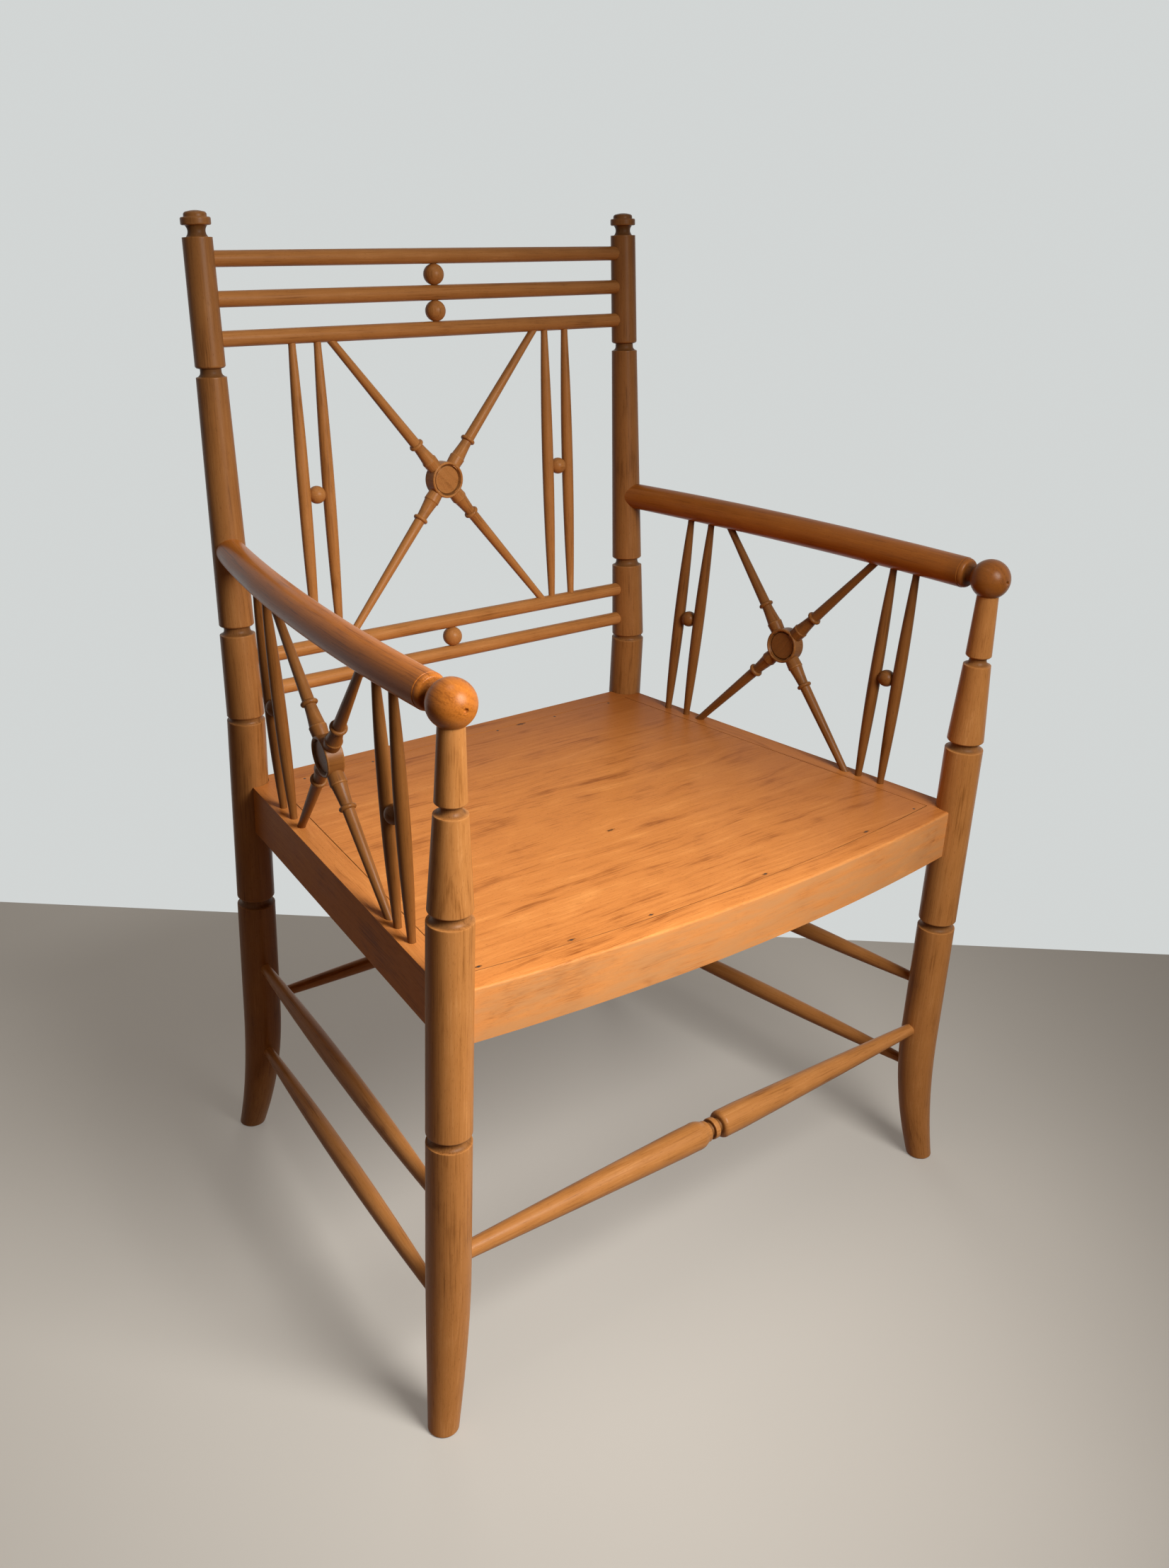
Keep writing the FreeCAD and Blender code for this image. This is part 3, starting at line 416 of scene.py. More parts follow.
@dataclass(frozen=True)
class BradFinish(Finish):
    """Dark oxidised steel of the brad heads, half hidden by old polish."""

    name: str = "brad head oxidised steel"
    rust: Triple = (0.075, 0.030, 0.012)
    steel: Triple = (0.045, 0.036, 0.030)
    spot_scale: Triple = (1400.0, 1400.0, 1400.0)

    def shader(self, graph: Graph) -> dict[str, Any]:
        """Write the steel and its rust on Object coordinates."""
        spots = graph.noise(graph.place() * self.spot_scale, 3.0, 0.6).steps(0.4, 0.62)
        return {"Base Color": graph.mix(spots, self.steel, self.rust), "Metallic": 0.55 * (1 - spots),
                "Roughness": 0.45 + 0.3 * spots}


@dataclass(frozen=True)
class FloorFinish(Finish):
    """Plain pale paint for the floor, evenly lit to the eye, darker in what it throws back."""

    paint: Triple
    bounce: Triple
    glow: float
    cloud_scale: Triple = (1.5, 1.5, 1.5)
    cloud_shade: float = 0.96

    def shader(self, graph: Graph) -> dict[str, Any]:
        """Write the paint on Object coordinates.

        Args:
            graph: The material's graph.

        Returns:
            The shader's inputs.
        """
        cloud = graph.noise(graph.place() * self.cloud_scale, 2.0).steps(0.2, 0.8)
        colour = graph.mix(cloud, tuple(self.cloud_shade * c for c in self.paint), self.paint)
        seen = graph.seen()
        return {"Base Color": graph.mix(seen, self.bounce, colour), "Roughness": 0.85,
                "Emission Color": graph.mix(seen, (0.0, 0.0, 0.0), colour), "Emission Strength": self.glow}


class Outline:
    """A turning's outline: radii at distances along its axis, with arcs sampled and corners eased. In mm."""

    EASE = 0.4
    GUARD = 1.0
    CORNER = math.radians(22)
    REACH = 9.6
    SHALLOW, DEEP = 0.3, 1.8
    ARC_ANGLE, ARC_RUN = 0.14, 9.0

    def __init__(self, radius: float, along: float) -> None:
        """Start at a radius and a distance."""
        self.points: list[Point] = [(radius, along)]
        self.dirt_and_shade_radii: Point = (0.0, 0.0)

    def dirt_and_shade_ring(self, inner: float, outer: float) -> "Outline":
        """Darken the rings between two radii with dirt and painted shade, as if they lay in a hollow."""
        self.dirt_and_shade_radii = (inner, outer)
        return self

    def line(self, *points: Point) -> "Outline":
        """Add straight runs to points."""
        self.points += points
        return self

    def arc(self, middle: Point, end: Point) -> "Outline":
        """Add an arc through a middle point.

        Args:
            middle: A point on the arc.
            end: Its last point.

        Returns:
            The outline itself.
        """
        (ax, ay), (bx, by), (cx, cy) = corners = self.points[-1], middle, end
        twice = 2 * (ax * (by - cy) + bx * (cy - ay) + cx * (ay - by))
        if abs(twice) < 1e-9:
            return self.line(middle, end)
        sq = [x * x + y * y for x, y in corners]
        ox = (sq[0] * (by - cy) + sq[1] * (cy - ay) + sq[2] * (ay - by)) / twice
        oy = (sq[0] * (cx - bx) + sq[1] * (ax - cx) + sq[2] * (bx - ax)) / twice
        radius = math.hypot(ax - ox, ay - oy)
        first, mid, last = [math.atan2(y - oy, x - ox) for x, y in corners]
        sweep = (last - first) % (2 * math.pi)
        if (mid - first) % (2 * math.pi) > sweep:
            sweep -= 2 * math.pi
        count = max(4, int(abs(sweep) / self.ARC_ANGLE), int(abs(sweep) * radius / self.ARC_RUN))
        angles = [first + sweep * i / count for i in range(1, count + 1)]
        return self.line(*((ox + radius * math.cos(a), oy + radius * math.sin(a)) for a in angles))

    def rings(self, longest: float) -> list[Ring]:
        """Ease the corners and divide long runs.

        Args:
            longest: The longest run left between rings.

        Returns:
            Radius, distance, hollow and wear of every ring.
        """
        eased: list[Triple] = [(*self.points[0], 0.0)]
        for before, here, after in zip(self.points, self.points[1:], self.points[2:]):
            eased += self.corner(before, here, after)
        eased.append((*self.points[-1], 0.0))
        full = [eased[0]]
        for a, b in zip(eased, eased[1:]):
            count = max(1, math.ceil(math.hypot(b[0] - a[0], b[1] - a[1]) / longest))
            full += [tuple(p + (q - p) * i / count for p, q in zip(a, b)) for i in range(1, count + 1)]
        return [(r, t, self.hollow(full, i), w) for i, (r, t, w) in enumerate(full)]

    def corner(self, before: Point, here: Point, after: Point) -> list[Triple]:
        """Ease one corner, with guards beside it so that its wear stays there.

        Args:
            before: The point before it.
            here: The corner.
            after: The point after it.

        Returns:
            Radius, distance and wear of the points that stand for it.
        """
        into = (here[0] - before[0], here[1] - before[1])
        out = (after[0] - here[0], after[1] - here[1])
        lengths = [max(1e-9, math.hypot(*v)) for v in (into, out)]
        into, out = [(v[0] / n, v[1] / n) for v, n in zip((into, out), lengths)]
        turn = into[1] * out[0] - into[0] * out[1]
        if math.atan2(abs(turn), into[0] * out[0] + into[1] * out[1]) < self.CORNER:
            return [(*here, 0.0)]
        wear = 1.0 if turn < 0 else 0.0
        room = [min(self.EASE, 0.4 * n) for n in lengths]
        start = (here[0] - into[0] * room[0], here[1] - into[1] * room[0])
        end = (here[0] + out[0] * room[1], here[1] + out[1] * room[1])
        middle = tuple(0.25 * a + 0.5 * h + 0.25 * b for a, h, b in zip(start, here, end))
        points = [(*start, wear * 0.6), (*middle, wear), (*end, wear * 0.6)]
        if wear and lengths[0] > 3 * self.GUARD:
            points.insert(0, (start[0] - into[0] * self.GUARD, start[1] - into[1] * self.GUARD, 0.0))
        if wear and lengths[1] > 3 * self.GUARD:
            points.append((end[0] + out[0] * self.GUARD, end[1] + out[1] * self.GUARD, 0.0))
        return points

    def hollow(self, full: list[Triple], index: int) -> float:
        """How deep a ring lies between fuller ones on both sides.

        Args:
            full: Radius, distance and wear of every ring.
            index: Which ring.

        Returns:
            From 0 to 1.
        """
        radius, along, _ = full[index]
        if self.dirt_and_shade_radii[0] < radius < self.dirt_and_shade_radii[1]:
            return 1.0
        sides = [max(r for r, t, _ in part if abs(t - along) < self.REACH)
                 for part in (full[:index + 1], full[index:])]
        return min(1.0, max(0.0, (min(sides) - radius - self.SHALLOW) / self.DEEP))


def placed(name: str, data: bpy.types.ID) -> bpy.types.Object:
    """Make an object and link it to the scene.

    Args:
        name: Its name.
        data: Its mesh, lamp or camera.

    Returns:
        The object.
    """
    item = bpy.data.objects.new(name, data)
    bpy.context.scene.collection.objects.link(item)
    return item


def node_group(name: str, inputs: dict[str, str], output: str) -> tuple[Graph, dict[str, Field]]:
    """Start a Geometry Nodes tree.

    Args:
        name: The tree's name.
        inputs: Its inputs' kinds by name.
        output: Its output's name.

    Returns:
        The graph that writes it and the inputs as fields.
    """
    tree = bpy.data.node_groups.new(name, "GeometryNodeTree")
    for label, kind in inputs.items():
        tree.interface.new_socket(name=label, in_out="INPUT", socket_type="NodeSocket" + kind)
    tree.interface.new_socket(name=output, in_out="OUTPUT", socket_type="NodeSocketGeometry")
    graph = Graph(tree)
    entry = graph.node("NodeGroupInput", {}, {})
    return graph, {label: Field(graph, entry.outputs[label]) for label in inputs}


def close_group(graph: Graph, mesh: Field, finish: Field) -> None:
    """End a Geometry Nodes tree with real geometry in its material.

    Args:
        graph: The graph that writes it.
        mesh: The geometry so far.
        finish: The material.
    """
    mesh = graph.geometry("RealizeInstances", {"Geometry": mesh})
    mesh = graph.geometry("SetMaterial", {"Geometry": mesh, "Material": finish})
    graph.node("NodeGroupOutput", {}, {0: mesh})


def realise(name: str, base: bpy.types.Mesh, tree: bpy.types.NodeTree, inputs: dict[str, Any]) -> bpy.types.Object:
    """Run a Geometry Nodes tree on a mesh and keep the result as a plain mesh.

    Args:
        name: The piece's name.
        base: The mesh that the tree starts from.
        tree: The tree.
        inputs: Values for its named inputs.

    Returns:
        The piece, without the modifier, its faces outwards.
    """
    piece = placed(name, base)
    modifier = piece.modifiers.new(tree.name, "NODES")
    modifier.node_group = tree
    for item in tree.interface.items_tree:
        if item.in_out == "INPUT" and item.name in inputs:
            modifier[item.identifier] = inputs[item.name]
    graph = bpy.context.evaluated_depsgraph_get()
    mesh = bpy.data.meshes.new_from_object(piece.evaluated_get(graph), preserve_all_data_layers=True,
                                           depsgraph=graph)
    piece.modifiers.clear()
    piece.data = mesh
    bpy.data.meshes.remove(base)
    mesh.name = name
    return faced_out(piece)


def faced_out(piece: bpy.types.Object) -> bpy.types.Object:
    """Turn a closed piece's faces outwards if they point in.

    Args:
        piece: The piece.

    Returns:
        The same piece.
    """
    work = bmesh.new()
    work.from_mesh(piece.data)
    if work.calc_volume(signed=True) < 0:
        piece.data.flip_normals()
    work.free()
    return piece


def straight(start: Vector, direction: Vector) -> Path:
    """Path along a straight axis.

    Args:
        start: Where the distance is 0.
        direction: Which way it grows.

    Returns:
        The path.
    """
    axis = direction.normalized()
    flat = axis.cross(UP)
    across = flat.normalized() if flat.length > 1e-4 else RIGHT
    beside = axis.cross(across)
    return lambda t: (start + axis * t, across, beside)


class Turner:
    """Turns outlines along paths into closed meshes with one Geometry Nodes tree."""

    WAVER = 0.12
    WAVER_ROUND, WAVER_ALONG, WAVER_FULL = 0.7, 22.0, 400.0
    CREASE = math.radians(38)
    SEEDS = 997
    SHIFT = ((0.013, 7), (0.011, 11), (0.37, 13))

    def __init__(self) -> None:
        """Write the tree: a tube whose rings sit on the points of a line and take their size from them."""
        graph, given = node_group("turning", {
            "Line": "Geometry", "Sides": "Int", "Crease": "Float", "Waver": "Float", "Grain Shift": "Vector",
            "Seed": "Float", "Finish": "Material"}, "Turning")
        self.tree = graph.tree
        line, sides = given["Line"], given["Sides"]
        rings = graph.geometry("AttributeDomainSize", {"Geometry": line}, "Point Count", component="MESH")
        shell = graph.geometry("MeshCylinder", {"Vertices": sides, "Side Segments": rings - 1, "Radius": 1.0,
                                                "Depth": 1.0}, "Mesh", fill_type="NGON")
        index = graph.geometry("InputIndex", {}, "Index")
        ring = ((index + 0.5) / sides).math("FLOOR")
        angle = (index - ring * sides) / sides * (2 * math.pi)

        def pick(kind: str, what: Field) -> Field:
            """Take a value from the line's point that carries this ring."""
            return graph.geometry("SampleIndex", {"Geometry": line, "Value": what, "Index": ring}, "Value",
                                  data_type=kind, domain="POINT")

        def sample(name: str, kind: str = "FLOAT") -> Field:
            """Take a named attribute from that point."""
            return pick(kind, graph.geometry("InputNamedAttribute", {"Name": name}, "Attribute", data_type=kind))

        centre = pick("FLOAT_VECTOR", graph.geometry("InputPosition", {}, "Position"))
        cosine, sine = angle.math("COSINE"), angle.math("SINE")
        radius, along = sample("radius"), sample("along")
        swing = graph.noise(graph.combine(cosine * self.WAVER_ROUND, sine * self.WAVER_ROUND,
                                          along * self.WAVER_ALONG + given["Seed"]), 1.0) - 0.5
        radius = radius + swing * given["Waver"] * (radius * self.WAVER_FULL).bounded()
        across, beside = radius * cosine, radius * sine
        offset = sample("across_u", "FLOAT_VECTOR") * across + sample("across_v", "FLOAT_VECTOR") * beside
        mesh = graph.geometry("SetPosition", {"Geometry": shell, "Position": centre + offset})
        grain = graph.combine(across, beside, along) + given["Grain Shift"]
        for name, kind, what in (("grain", "FLOAT_VECTOR", grain), ("hollow", "FLOAT", sample("hollow")),
                                 ("wear", "FLOAT", sample("wear"))):
            mesh = graph.geometry("StoreNamedAttribute", {"Geometry": mesh, "Name": name, "Value": what},
                                  data_type=kind, domain="POINT")
        mesh = graph.geometry("SetShadeSmooth", {"Geometry": mesh, "Shade Smooth": True}, domain="FACE")
        bend = graph.geometry("InputMeshEdgeAngle", {}, "Unsigned Angle")
        sharp = graph.value("FunctionNodeCompare", {"data_type": "FLOAT", "operation": "GREATER_THAN"},
                            {0: bend, 1: given["Crease"]}, "Result")
        mesh = graph.geometry("SetShadeSmooth", {"Geometry": mesh, "Selection": sharp, "Shade Smooth": False},
                              domain="EDGE")
        close_group(graph, mesh, given["Finish"])

    def turn(self, name: str, rings: list[Ring], path: Path, finish: bpy.types.Material,
             sides: int) -> bpy.types.Object:
        """Turn one piece.

        Args:
            name: The piece's name.
            rings: Radius, distance, hollow and wear of each ring, in millimetres.
            path: Centre and two crosswise unit vectors at a distance.
            finish: Its material.
            sides: Faces round it.

        Returns:
            The piece, with the tree's result as its mesh.
        """
        seats = [path(ring[1]) for ring in rings]
        mesh = bpy.data.meshes.new(name)
        mesh.from_pydata([s[0] * MM for s in seats], [(i, i + 1) for i in range(len(seats) - 1)], [])
        for key, column, scale in (("radius", 0, MM), ("along", 1, MM), ("hollow", 2, 1.0), ("wear", 3, 1.0)):
            values = [ring[column] * scale for ring in rings]
            mesh.attributes.new(key, "FLOAT", "POINT").data.foreach_set("value", values)
        for key, column in (("across_u", 1), ("across_v", 2)):
            flat = [c for s in seats for c in s[column]]
            mesh.attributes.new(key, "FLOAT_VECTOR", "POINT").data.foreach_set("vector", flat)
        seed = sum(ord(c) * (i + 1) for i, c in enumerate(name)) % self.SEEDS
        return realise(name, mesh, self.tree, {
            "Sides": sides, "Crease": self.CREASE, "Waver": self.WAVER * MM, "Seed": float(seed), "Finish": finish,
            "Grain Shift": tuple(run * (seed % cycle) for run, cycle in self.SHIFT)})


@dataclass
class Stance:
    """Where the posts stand, how the back leans and how the arms run, in millimetres as in the part's source."""

    front_post_x: float = 307.0
    back_post_x: float = 246.8
    seat_depth: float = 445.0
    seat_height: float = 427.0
    middle_y: float = 238.026
    bend_z: float = 495.4
    arm_groove_z: float = 583.2
    crest_groove_z: float = 820.7
    shoulder_z: float = 934.8
    under_groove_z: float = 294.0
    arm_front_z: float = 663.3
    arm_back_z: float = 658.8
    arm_bow: float = 13.5
    lean: float = math.radians(5.71)
    foot_height: float = 160.0
    foot_diameter: float = 27.4
    leg_diameter: float = 38.8
    front_flare: float = 14.0
    back_splay: float = 6.0
    back_sweep: float = 27.0

    def at(self, x: float, y: float, z: float) -> Vector:
        """Point in the part's frame, from one measured back from the front posts."""
        return Vector((x, y - self.middle_y, z))

    def foot_share(self, z: float) -> float:
        """Share of a foot's full flare at a height."""
        return (1 - z / self.foot_height) ** 2 if z < self.foot_height else 0.0

    def leg_radius(self, share: float) -> float:
        """Radius of a leg at a share of its curved foot's height."""
        swell = (self.leg_diameter - self.foot_diameter) * math.sin(share * math.pi / 2)
        return (self.foot_diameter + swell) / 2

    def front_axis(self, side: int, z: float) -> Vector:
        """Point on a front leg's axis."""
        flare = self.front_flare * self.foot_share(z)
        return self.at(side * (self.front_post_x + flare), -flare, z)

    def back_axis(self, side: int, z: float) -> Vector:
        """Point on a back post's axis, swept back at the foot and leaning above its bend."""
        back, share = math.tan(self.lean) * max(0.0, z - self.bend_z), self.foot_share(z)
        return self.at(side * (self.back_post_x + self.back_splay * share),
                       self.seat_depth + self.back_sweep * share + back, z)

    def back_plane(self, x: float, z: float) -> Vector:
        """Point in the leaning plane of the back."""
        return Vector((x, self.back_axis(1, z).y, z))

    @property
    def slope(self) -> Vector:
        """Unit vector up the leaning back."""
        return Vector((0.0, math.sin(self.lean), math.cos(self.lean)))

    def leaning(self, z: float) -> float:
        """Distance along a back post at a height above its bend."""
        return self.bend_z + (z - self.bend_z) / math.cos(self.lean)

    def arm_axis(self, side: int, share: float) -> Vector:
        """Point on an armrest's axis.

        Args:
            side: Which armrest.
            share: 0 at the ball, 1 at the back post.

        Returns:
            The point.
        """
        front = self.at(self.front_post_x, 0.0, self.arm_front_z)
        back = self.back_axis(1, self.arm_back_z)
        outward = Vector((back.y - front.y, front.x - back.x, 0.0)).normalized()
        point = front + (back - front) * share + outward * (4 * self.arm_bow * share * (1 - share))
        return Vector((side * point.x, point.y, point.z))

    def arm_direction(self, side: int, share: float) -> Vector:
        """Unit vector along an armrest, towards the back."""
        return (self.arm_axis(side, share + 0.001) - self.arm_axis(side, share - 0.001)).normalized()

    def above(self, side: int, y: float) -> Vector:
        """Point on an armrest's axis at a distance behind the front posts."""
        return self.arm_axis(side, y / (self.arm_axis(1, 1.0).y + self.middle_y))

    def side_line(self, side: int, y: float, inset: float) -> Vector:
        """Point at the seat's top on the line through a side's post axes, moved inwards.

        Args:
            side: -1 on the left, 1 on the right.
            y: Distance behind the front posts.
            inset: How far inwards, square to the line.

        Returns:
            The point.
        """
        taper = self.front_post_x - self.back_post_x
        x = self.front_post_x - taper * y / self.seat_depth
        skew = math.hypot(self.seat_depth, taper) / self.seat_depth
        return self.at(side * (x - inset * skew), y, self.seat_height)


@dataclass
class Workshop:
    """What every sub-assembly needs: the stance, the turner and the finishes."""

    stance: Stance
    turner: Turner
    finishes: dict[Slot, bpy.types.Material]

    def with_wood(self, finish: WoodFinish) -> "Workshop":
        """The same workshop with another finish on its turned wood."""
        return replace(self, finishes={**self.finishes, Slot.TURNED: finish.material()})

    def hand_over(self, piece: bpy.types.Object, slot: Slot, node: str) -> None:
        """Let a piece ride on the chair and stand for its CAD node.

        Args:
            piece: The piece.
            slot: Its material slot; not used.
            node: The CAD node.
        """
        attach(piece, "root")
        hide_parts(node)
        log.info("%s: %d faces", piece.name, len(piece.data.polygons))

    def turned(self, node: str, outline: Outline, path: Path, sides: int = 32, slot: Slot = Slot.TURNED,
               longest: float = 16.0) -> None:
        """Turn an outline along a path as the piece that stands for a node."""
        piece = self.turner.turn(node + "_turned", outline.rings(longest), path, self.finishes[slot], sides)
        self.hand_over(piece, slot, node)

    def rod(self, node: str, start: Vector, end: Vector, depths: Point, diameters: Point, lead: float = 4.0) -> None:
        """Turn a swelled rod between two surfaces, let into each by its depth.

        Args:
            node: The CAD node that it stands for.
            start: Where it leaves the first surface.
            end: Where it enters the last surface.
            depths: How far it goes into each.
            diameters: At its ends and in its middle.
            lead: Straight run at each end outside the socket.
        """
        axis = (end - start).normalized()
        length = (end - start).length + depths[0] + depths[1]
        small, large = [d / 2 for d in diameters]
        first, last = depths[0] + lead, length - depths[1] - lead
        outline = Outline(small, 0.0).line((small, first)).arc((large, (first + last) / 2), (small, last))
        self.turned(node, outline.line((small, length)), straight(start - axis * depths[0], axis))


@dataclass
class Posts:
    """Front legs and back posts: bamboo segments with grooves, curved feet and button finials."""

    shop: Workshop
    # The back posts' workshop; its turned wood is a darker copy of the legs' wood: painted shade.
    rear: Workshop
    front_segments: tuple[Point, ...] = ((38.8, 38.4), (38.4, 37.6), (36.0, 26.8), (25.2, 20.0))
    back_segments: tuple[Point, ...] = ((38.8, 38.4), (37.8, 36.8), (36.2, 33.8), (33.2, 27.8), (27.6, 26.7))
    foot_ease: float = 0.8
    foot_rings: int = 20
    cut: Point = (4.2, 9.4)
    bend_cut: Point = (2.0, 5.4)
    groove_edge: float = 1.3
    cove_pull: float = 0.3
    fillet: float = 1.6
    leg_top: float = 655.8
    finial_neck: float = 15.6
    finial_cove: Point = (20.0, 10.0)
    finial_disc: Triple = (26.6, 6.7, 0.8)
    finial_cap: Triple = (20.4, 1.8, 2.8)
    finial_crown: float = 1.1
    sides: int = 56

    def build(self) -> None:
        """Build the four posts."""
        stance = self.shop.stance
        grooves = [stance.under_groove_z, stance.bend_z, stance.arm_groove_z]
        front = self.stem(self.front_segments, grooves, [self.cut] * 3)
        front.line((self.front_segments[-1][1] / 2, self.leg_top))
        leaning = [stance.leaning(z) for z in (stance.arm_groove_z, stance.crest_groove_z)]
        back = self.stem(self.back_segments, grooves[:2] + leaning, [self.cut, self.bend_cut, self.cut, self.cut])
        self.finial(back, stance.leaning(stance.shoulder_z))
        for name, side in SIDES.items():
            self.shop.turned("front_leg_" + name, front, lambda z: (stance.front_axis(side, z), RIGHT, BACK),
                             self.sides)
            # The back posts take the darker copy of the wood: painted shade.
            self.rear.turned("back_post_" + name, back, lambda t: self.back_seat(side, t), self.sides)

    def stem(self, segments: Sequence[Point], heights: Sequence[float], cuts: Sequence[Point]) -> Outline:
        """Outline of a curved foot and the bamboo segments above it.

        Args:
            segments: Diameters at the bottom and top of each segment.
            heights: Middles of the grooves between them.
            cuts: Depth and height of each groove.

        Returns:
            The outline, up to the last groove.
        """
        stance = self.shop.stance
        radius = stance.foot_diameter / 2
        outline = Outline(radius - self.foot_ease, 0.0).line((radius, self.foot_ease))
        for i in range(1, self.foot_rings + 1):
            share = i / self.foot_rings
            outline.line((stance.leg_radius(share), share * stance.foot_height))
        for below, above, z, (depth, tall) in zip(segments, segments[1:], heights, cuts):
            low, high = below[1] / 2, above[0] / 2
            neck = min(low, high) - depth
            rim, lip = z - tall / 2, z + tall / 2
            edge = min(self.groove_edge, depth / 2)
            outline.line((low, rim))
            outline.arc((neck + self.cove_pull * (low - neck), rim + self.cove_pull * (z - rim)), (neck, z))
            outline.line((neck, lip - self.fillet * edge), (high - edge, lip - edge), (high, lip))
        return outline

    def back_seat(self, side: int, along: float) -> Seat:
        """Where a back post's ring sits: level below the bend, square to the leaning axis above it.

        Args:
            side: Which post.
            along: The ring's distance along the post.

        Returns:
            Its centre and two crosswise unit vectors.
        """
        stance = self.shop.stance
        past = along - stance.bend_z
        bend = stance.back_axis(side, stance.bend_z)
        centre = stance.back_axis(side, along) if past < 0 else bend + stance.slope * past
        tilt = stance.lean * min(1.0, max(0.0, past / self.bend_cut[1] + 0.5))
        return centre, RIGHT, Vector((0.0, math.cos(tilt), -math.sin(tilt)))

    def finial(self, outline: Outline, shoulder: float) -> None:
        """Add the button finial above a post's shoulder.

        Args:
            outline: The post's outline so far.
            shoulder: The shoulder's distance along the post.
        """
        cove, disc, cap = self.finial_cove[0] / 2, self.finial_disc[0] / 2, self.finial_cap[0] / 2
        rounding, crown = self.finial_cap[2], cap - self.finial_cap[2]
        disc_z = shoulder + self.finial_cove[1]
        cap_z = disc_z + self.finial_disc[1]
        wall_z = cap_z + self.finial_cap[1]
        top = wall_z + rounding + self.finial_crown
        ease, half_round = self.finial_disc[2], rounding * math.sqrt(0.5)
        outline.line((self.back_segments[-1][1] / 2, shoulder), (cove, shoulder + STEP))
        outline.arc((self.finial_neck / 2, (shoulder + disc_z) / 2), (cove, disc_z - STEP))
        outline.line((disc - ease, disc_z), (disc, disc_z + ease), (disc, cap_z - ease), (disc - ease, cap_z),
                     (cap, cap_z + STEP), (cap, wall_z))
        outline.arc((crown + half_round, wall_z + half_round), (crown, wall_z + rounding))
        ball = (crown ** 2 + self.finial_crown ** 2) / (2 * self.finial_crown)
        half = math.asin(crown / ball) / 2
        outline.arc((ball * math.sin(half), top - ball * (1 - math.cos(half))), (CORE, top))


@dataclass
class Armrests:
    """Two bowed armrests, each with a neck and a ball on the front leg."""

    shop: Workshop
    diameter: float = 29.6
    back_diameter: float = 27.4
    ball: float = 38.0
    neck: Point = (15.0, 6.5)
    shoulder: Point = (25.0, 5.0)
    rim_step: float = 0.6
    back_share: float = 0.985
    pip: Point = (2.3, 1.9)
    pip_floor: Point = (0.55, 0.2)
    bar_rings: int = 44
    sides: int = 56
    longest: float = 12.0

    def build(self) -> None:
        """Build both armrests, from the back post to the ball's front."""
        stance = self.shop.stance
        for name, side in SIDES.items():
            whole = (stance.arm_axis(side, 1.0) - stance.arm_axis(side, 0.0)).length
            radius, neck = self.ball / 2, self.neck[0] / 2
            contact = math.sqrt(radius ** 2 - neck ** 2)
            first = (contact + self.neck[1] + self.shoulder[1]) / whole
            start = stance.arm_axis(side, first)
            ahead = stance.arm_axis(side, 0.0) - start
            forward, centre = ahead.normalized(), ahead.length
            length = (self.back_share - first) * whole
            outline = Outline(self.bar_radius(self.back_share), -length)
            for i in range(1, self.bar_rings + 1):
                share = self.back_share + (first - self.back_share) * i / self.bar_rings
                outline.line((self.bar_radius(share), -length * (1 - i / self.bar_rings)))
            rim, brow, run = self.diameter / 2 - self.rim_step, self.shoulder[0] / 2, self.shoulder[1]
            outline.line((rim, STEP)).arc(((rim + brow) / 2 + self.rim_step, run / 2 + self.rim_step), (brow, run))
            outline.line((neck, run + self.rim_step), (neck, centre - contact))
            tip, floor = self.pip[0], centre + radius - self.pip[1]
            outline.arc((radius, centre), (tip, centre + math.sqrt(radius ** 2 - tip ** 2)))
            outline.line((tip * self.pip_floor[0], floor), (CORE, floor - self.pip_floor[1]))

            def path(t: float) -> Seat:
                """Run along the bowed bar behind the neck, then straight through the ball.

                Args:
                    t: Distance forward from the bar's front end.

                Returns:
                    The centre and two crosswise unit vectors.
                """
                share = first - t / whole
                place = stance.arm_axis(side, share) if t < 0 else start + forward * t
                axis = stance.arm_direction(side, share) * -1 if t < 0 else forward
                across = axis.cross(UP).normalized()
                return place, across, axis.cross(across)

            self.shop.turned("armrest_" + name, outline, path, self.sides, Slot.ARM, self.longest)

    def bar_radius(self, share: float) -> float:
        """Radius of the bar at a share of the arm's length."""
        return (self.diameter + (self.back_diameter - self.diameter) * max(0.0, 2 * share - 1) ** 2) / 2


